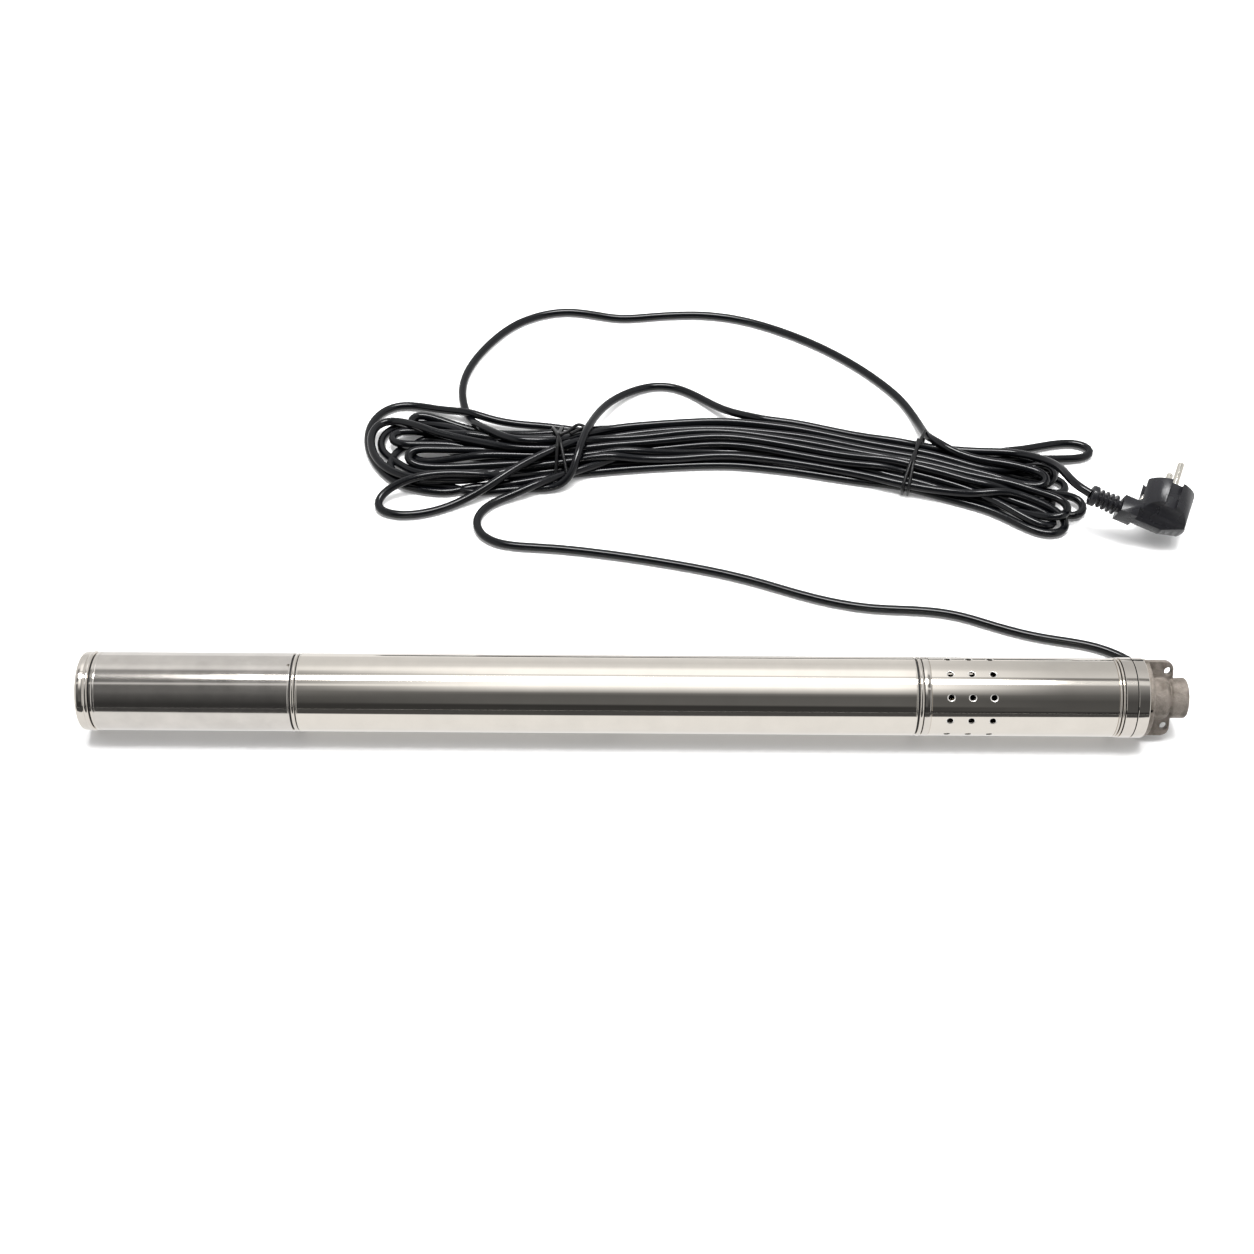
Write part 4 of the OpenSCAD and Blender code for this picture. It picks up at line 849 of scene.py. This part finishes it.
def makeTubes(materials):
    wide, narrow = tube["wideLip"], tube["narrowLip"]
    obj = onAxis("capacitorTube", "housing", tubeOutline(tube["capacitor"], wide, narrow))
    out = clockVector(lockScrew["clock"])
    centre = Vector((stations["ring"] - lockScrew["back"], 0, axisHeight)) + out * tubeRadius
    cutAway(obj, drum("screwHole", lockScrew["radius"], lockScrew["depth"], centre, out, 24))
    finishPiece(obj, materials["buffed stainless tube"], ["capacitor_housing"])
    obj = onAxis("motorTube", "motor", tubeOutline(tube["motor"], narrow, narrow))
    finishPiece(obj, materials["polished drawn stainless tube"], ["motor_shell"])


# The outlines below run along the axis and out from it, from r, the tube's radius
bottomCap = {
    "skirt": 5.6, "bead": 2.8, "groove": 1.2, "rim": 1.0, "corner": 1.8, "dish": 0.6, "wall": 1.2,
    "spigot": 9,
}


def makeBottomCap(materials):
    c, r = bottomCap, tubeRadius
    bead = c["skirt"]
    groove = bead + c["bead"]
    rim = groove + c["groove"]
    length = rim + c["rim"]
    back = c["dish"] + c["wall"]
    outline = [(c["dish"], 0), (c["dish"], r - 6.4), (0.35, r - 5.4), (0, r - 4.6)]
    outline += arcPoints((c["corner"], r - c["corner"]), c["corner"], 170, 90, 8)
    outline += [(bead - 0.9, r), (bead - 0.3, r - 0.35)] + beadPoints(bead - 0.1, groove, r - 0.45, 0.9, 16)
    outline += [(groove + 0.1, r - 1), (rim - 0.15, r - 1), (rim - 0.1, r - 0.3), (rim, r)]
    outline += [(length, r), (length, seat), (length + c["spigot"], seat)]
    outline += [(length + c["spigot"], seat - c["wall"]), (back, seat - c["wall"]), (back, 0)]
    finishRing("bottomCap", "cap", "bottom_cap", outline, length, materials)


jointRing = {"length": 4, "bead": 2.4, "spigot": 9, "spigotWall": 3}


def makeJointRing(materials):
    c, r = jointRing, tubeRadius
    length, inner = c["length"], seat - c["spigotWall"]
    side = (length - c["bead"]) / 2
    end = side + c["bead"]
    outline = [(-c["spigot"], inner), (-c["spigot"], seat), (0, seat), (0.1, seat), (side + 0.1, seat)]
    outline += beadPoints(side + 0.1, end, r - 0.75, 0.75, 14)
    outline += [(end, r - 0.6), (length, r - 0.6), (length, seat)]
    outline += [(length + c["spigot"], seat), (length + c["spigot"], inner), outline[0]]
    finishRing("jointRing", "ring", "joint_ring", outline, length, materials)


couplingBand = {"length": 8.6, "groove": 1.2, "bead": 2.6, "spigot": 9, "spigotWall": 2.7}


def makeCouplingBand(materials):
    c, r = couplingBand, tubeRadius
    length, inner = c["length"], seat - c["spigotWall"]
    end = c["groove"] + c["bead"]
    outline = [(-c["spigot"], inner), (-c["spigot"], seat), (0, seat), (c["groove"], seat)]
    outline += beadPoints(c["groove"], end, r - 0.5, 0.9, 16)
    outline += [(end, r - 0.7), (end + 0.4, r - 0.7), (end + 0.6, r)]
    outline += [(length - 1.1, r + 0.1), (length - 0.75, r + 0.32), (length - 0.35, r + 0.3)]
    outline += [(length - 0.15, r - 0.3), (length, r - 0.3), (length, seat)]
    outline += [(length + c["spigot"], seat), (length + c["spigot"], inner), outline[0]]
    finishRing("couplingBand", "band", "coupling_band", outline, length, materials)


pumpShell = {
    "length": 117, "edge": 0.2, "clock": 132, "rows": 10, "count": 3, "first": 11.9, "pitch": 13.4,
    "hole": 1.95, "chamfer": 0.65,
}


def makePumpShell(materials):
    c, r = pumpShell, tubeRadius
    length, edge = c["length"], c["edge"]
    outline = [(0, bore), (0, r - edge), (edge, r), (length - edge, r), (length, r - edge)]
    outline += [(length, bore), (0, bore)]
    obj = onAxis("pumpShell", "pump", outline)
    # a punch with a countersink, so that each hole keeps a rim for the painted highlight
    hole, wide = c["hole"], c["hole"] + c["chamfer"]
    profile = [(r - 3, 0), (r - 3, hole), (r - 0.3, hole), (r - 0.02, wide), (r + 2, wide), (r + 2, 0)]
    punches = []
    for row in range(c["rows"]):
        out = clockVector(c["clock"] + row * 360 / c["rows"])
        for i in range(c["count"]):
            centre = Vector((stations["pump"] + c["first"] + i * c["pitch"], 0, axisHeight))
            punches.append(spun("punch", profile, centre, axis=out, out=(1, 0, 0), steps=28))
    deselect()
    for punch in punches:
        punch.select_set(True)
    bpy.context.view_layer.objects.active = punches[0]
    bpy.ops.object.join()
    cutAway(obj, punches[0])
    finishPiece(obj, materials["polished drawn stainless tube"], ["pump_shell"], 20)
    # painted highlight: the countersinks take a lighter colour, a bright ring round each hole
    obj.data.materials.append(materials["hole rim painted highlight"])
    for face in obj.data.polygons:
        along = face.center.x / mm - stations["pump"]
        inEdge = r - 0.34 < reachOf(face) < r - 0.01 and 2 < along < length - 2
        # the strips of the tube's own wall are larger than the faces of a countersink
        face.material_index = 1 if inEdge and face.area < 2e-6 else 0


headCollar = {"length": 19.2, "spigot": 9, "wall": 0.7, "beads": (1.6, 3.7, 4.1), "proud": 0.5, "corner": 0.7}


def makeHeadCollar(materials):
    c, r = headCollar, tubeRadius
    first, second, band = c["beads"]
    length, inner, top = c["length"], seat - c["wall"], r + c["proud"]
    half = band + (length - band - 0.6) / 2
    outline = [(-c["spigot"], inner), (-c["spigot"], seat), (0, seat), (0, r - 0.3)]
    outline += beadPoints(0.1, first, r - 0.55, 0.85, 14) + [(first + 0.1, r - 1), (first + 0.5, r - 1)]
    outline += beadPoints(first + 0.6, second, r - 0.5, 0.9, 14) + [(second + 0.1, r - 0.9), (band, r - 0.9)]
    outline += [(band + 0.1, top - 0.15), (band + 0.3, top), (half - 0.15, top), (half, top - 0.15)]
    outline += [(half, top - 1.2), (half + 0.6, top - 1.2), (half + 0.6, top - 0.15), (half + 0.75, top)]
    outline += arcPoints((length - c["corner"], top - c["corner"]), c["corner"], 90, 0, 6)
    outline += [(length, inner), outline[0]]
    finishRing("headCollar", "collar", "head_collar", outline, length, materials)


# Depth and size of the skin's fine grit and of its slow swell, in millimetres
castHead = {"voxel": 0.45, "rounding": 4, "skin": {"grit": (0.3, 1.3), "swell": (0.35, 6.0)}}


def makeCastHead(frame, materials):
    # the casting's own edges are soft and its skin is uneven, which the drawn solid doesn't show
    source = frame["nodes"]["discharge_head"]
    obj = bpy.data.objects.new("castHead", source.data.copy())
    bpy.context.scene.collection.objects.link(obj)
    choose(obj)
    bpy.ops.object.mode_set(mode="EDIT")
    bpy.ops.mesh.select_all(action="SELECT")
    bpy.ops.mesh.remove_doubles(threshold=1e-5)
    bpy.ops.object.mode_set(mode="OBJECT")
    applyModifier(obj, "REMESH", mode="VOXEL", voxel_size=castHead["voxel"] * mm)
    applyModifier(obj, "SMOOTH", factor=0.5, iterations=castHead["rounding"])
    for name, (depth, size) in castHead["skin"].items():
        texture = bpy.data.textures.new(name, "CLOUDS")
        texture.noise_scale = size * mm
        applyModifier(obj, "DISPLACE", texture=texture, strength=depth * mm, mid_level=0.5)
    finishPiece(obj, materials["sand cast stainless steel"], ["discharge_head"], 60)


plug = {
    "place": (364.6, 159.1, 16.8), "turns": (-70, 15, -17), "radius": 18, "height": 33, "edge": 0.7,
    "neckLength": 30, "neckWidth": 17, "neckHeight": 12.5, "gripRadius": 24, "gripTop": 16, "guideWidth": 8,
    "guideDepth": 3.4, "slotWidth": 9, "slotDepth": 4.5, "recess": 1.0, "rim": 1.8, "pinPitch": 19,
    "pinRadius": 2.4, "pinLength": 19, "pinTip": 1.5, "pinRoot": 8,
    "slopeRadius": 300, "slopePlace": (120.2, 0, -275.7),
}


def atPlug(obj):
    turns = Matrix.Identity(4)
    for axis, angle in zip("XYZ", plug["turns"]):
        turns = Matrix.Rotation(math.radians(angle), 4, axis) @ turns
    obj.matrix_world = Matrix.Translation(Vector(plug["place"]) * mm) @ turns
    applyPlace(obj)
    return obj


def slotFrom(side):
    return 7 if side > 0 else plug["neckHeight"] + 4


def makePlugBody(materials):
    p = plug
    r, half, top = p["radius"], p["neckWidth"] / 2, p["height"] + 1
    body = drum("plugBody", r, p["height"], (0, 0, p["height"] / 2), (0, 0, 1))
    # the face is sunk inside its rim
    bpy.ops.object.mode_set(mode="EDIT")
    bpy.ops.mesh.select_all(action="DESELECT")
    bpy.ops.object.mode_set(mode="OBJECT")
    for face in body.data.polygons:
        face.select = face.normal.z > 0.9
    bpy.ops.object.mode_set(mode="EDIT")
    bpy.ops.mesh.inset(thickness=p["rim"] * mm)
    bpy.ops.transform.translate(value=(0, 0, -p["recess"] * mm))
    bpy.ops.object.mode_set(mode="OBJECT")
    joinOn(body, block("neck", (-p["neckLength"], -half, 0), (0, half, p["neckHeight"])))
    for side in (-1, 1):
        centre = (0, side * (half + r), p["gripTop"] - p["gripRadius"])
        grip = drum("grip", p["gripRadius"], 2 * r, centre, (1, 0, 0), 128)
        low, high = sorted((side * (r - p["guideDepth"]), side * (r + p["guideDepth"])))
        wide = p["guideWidth"] / 2
        guide = block("guide", (-wide, low, p["gripTop"] - 4), (wide, high, top))
        low, high = sorted((side * (r - p["slotDepth"]), side * (r + 1)))
        wide = p["slotWidth"] / 2
        clipSlot = block("slot", (low, -wide, slotFrom(side)), (high, wide, top))
        centre = (0, side * p["pinPitch"] / 2, p["height"])
        hole = drum("hole", p["pinRadius"] + 0.05, 12, centre, (0, 0, 1), 32)
        cutAway(body, grip, guide, clipSlot, hole)
    # the moulding's back slopes up under its far end
    cutAway(body, drum("slope", p["slopeRadius"], 4 * r, p["slopePlace"], (0, 1, 0), 360))
    rounding = {"width": p["edge"] * mm, "segments": 3, "limit_method": "ANGLE"}
    applyModifier(body, "BEVEL", angle_limit=math.radians(30), **rounding)
    applyModifier(body, "WEIGHTED_NORMAL")
    atPlug(body)
    return finishPiece(body, materials["injection moulded PVC"], ["plug_body"], 35)


relief = {
    "length": 22, "collar": 5, "collarRadius": 7.3, "core": 4.2, "bore": 3.05, "ribs": 4, "pitch": 3.6,
    "rib": 2.1, "ribRadius": 6.6, "grow": 0.2,
}


def makePlugRelief(materials):
    c = relief
    wide, core = c["collarRadius"], c["core"]
    outline = [(0, c["bore"]), (0, wide - 1.2), (0.35, wide - 0.4), (1.1, wide)]
    outline += [(c["collar"] - 0.8, wide), (c["collar"] - 0.2, wide - 0.5), (c["collar"], core)]
    for i in range(c["ribs"]):
        start = c["collar"] + 1.6 + i * c["pitch"]
        end = start + c["rib"]
        top = c["ribRadius"] + c["grow"] * i
        outline += [(start, core), (start + 0.1, top - 0.5), (start + 0.5, top)]
        outline += [(end - 0.5, top), (end - 0.1, top - 0.5), (end, core)]
    outline += [(c["length"], core), (c["length"], c["bore"]), (0, c["bore"])]
    place = (-plug["neckLength"] - c["length"], 0, plug["neckHeight"] / 2)
    obj = atPlug(spun("plugRelief", outline, place, steps=64))
    return finishPiece(obj, materials["injection moulded PVC"], ["plug_relief"], 35)


def makePlugPins(materials):
    made = []
    r, tip = plug["pinRadius"], plug["pinTip"]
    end = plug["pinRoot"] + plug["pinLength"]
    outline = [(0, 0), (0, r), (end - tip, r)] + arcPoints((end - tip, r - tip), tip, 75, 0, 5) + [(end, 0)]
    for side, name in ((-1, "plugPinNear"), (1, "plugPinFar")):
        place = (0, side * plug["pinPitch"] / 2, plug["height"] - plug["pinRoot"])
        obj = atPlug(spun(name, outline, place, (0, 0, 1), (1, 0, 0), 48))
        made.append(finishPiece(obj, materials["nickel plated brass"], ["plug_pins"]))
    return made


clip = {"strip": 0.8, "width": 5, "edge": 0.15, "down": 2}


def makeEarthClips(materials):
    made = []
    top = plug["height"] - clip["down"]
    root = plug["radius"] - plug["slotDepth"]
    for side, name in ((-1, "earthClipNear"), (1, "earthClipFar")):
        low = slotFrom(side)
        # the strip's outer line, drawn from the base to the tip
        line = [(0.1, low + 0.4), (2.6, low + 0.4), (3.2, low + 2), (3.2, low + 4), (2.2, top - 7)]
        line += [(1.5, top - 4), (1.1, top - 2), (0.5, top - 0.4), (0.1, top - 0.4)]
        spots = [Vector((side * (root + a), -clip["width"] / 2, b)) * mm for a, b in line]
        deselect()
        bpy.ops.mesh.primitive_plane_add(size=mm)
        obj = bpy.context.object
        obj.name = name
        bpy.ops.object.mode_set(mode="EDIT")
        bpy.ops.mesh.select_all(action="SELECT")
        bpy.ops.mesh.merge(type="CENTER")
        bpy.ops.transform.translate(value=spots[0])
        for before, after in zip(spots, spots[1:]):
            bpy.ops.mesh.extrude_region_move(TRANSFORM_OT_translate={"value": after - before})
        bpy.ops.mesh.select_all(action="SELECT")
        bpy.ops.mesh.extrude_region_move(TRANSFORM_OT_translate={"value": (0, clip["width"] * mm, 0)})
        bpy.ops.mesh.select_all(action="SELECT")
        bpy.ops.mesh.normals_make_consistent(inside=False)
        bpy.ops.object.mode_set(mode="OBJECT")
        applyModifier(obj, "SOLIDIFY", thickness=clip["strip"] * mm, offset=0)
        rounding = {"width": clip["edge"] * mm, "segments": 2, "limit_method": "ANGLE"}
        applyModifier(obj, "BEVEL", angle_limit=math.radians(50), **rounding)
        atPlug(obj)
        made.append(finishPiece(obj, materials["nickel plated brass"], ["plug_earth_clips"]))
    return made


def main():
    scene = bpy.context.scene
    scene.view_settings.view_transform = "Standard"
    for obj in list(bpy.data.objects):
        bpy.data.objects.remove(obj)
    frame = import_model()
    deselect()
    print("stage: frame")
    makeCamera()
    materials = makeMaterials()
    cable, guide = makeCable(materials)
    print("stage: camera and cable")
    tieWires = makeTies(guide, materials)
    makeWorld()
    makeFloor()
    makeLamps()
    print("stage: studio")
    slots = {s["node"]: s["material_slot"] for s in frame["record"]["subparts"]}
    for name, obj in frame["nodes"].items():
        obj.data.materials.clear()
        obj.data.materials.append(materials[slotFinishes[slots[name]]])
    print("stage: inner pieces")
    makeTubes(materials)
    makeBottomCap(materials)
    makeJointRing(materials)
    makeCouplingBand(materials)
    makePumpShell(materials)
    makeHeadCollar(materials)
    makeCastHead(frame, materials)
    print("stage: pump")
    onCord = [makePlugBody(materials), makePlugRelief(materials)]
    onCord += makePlugPins(materials) + makeEarthClips(materials)
    print("stage: plug")


main()
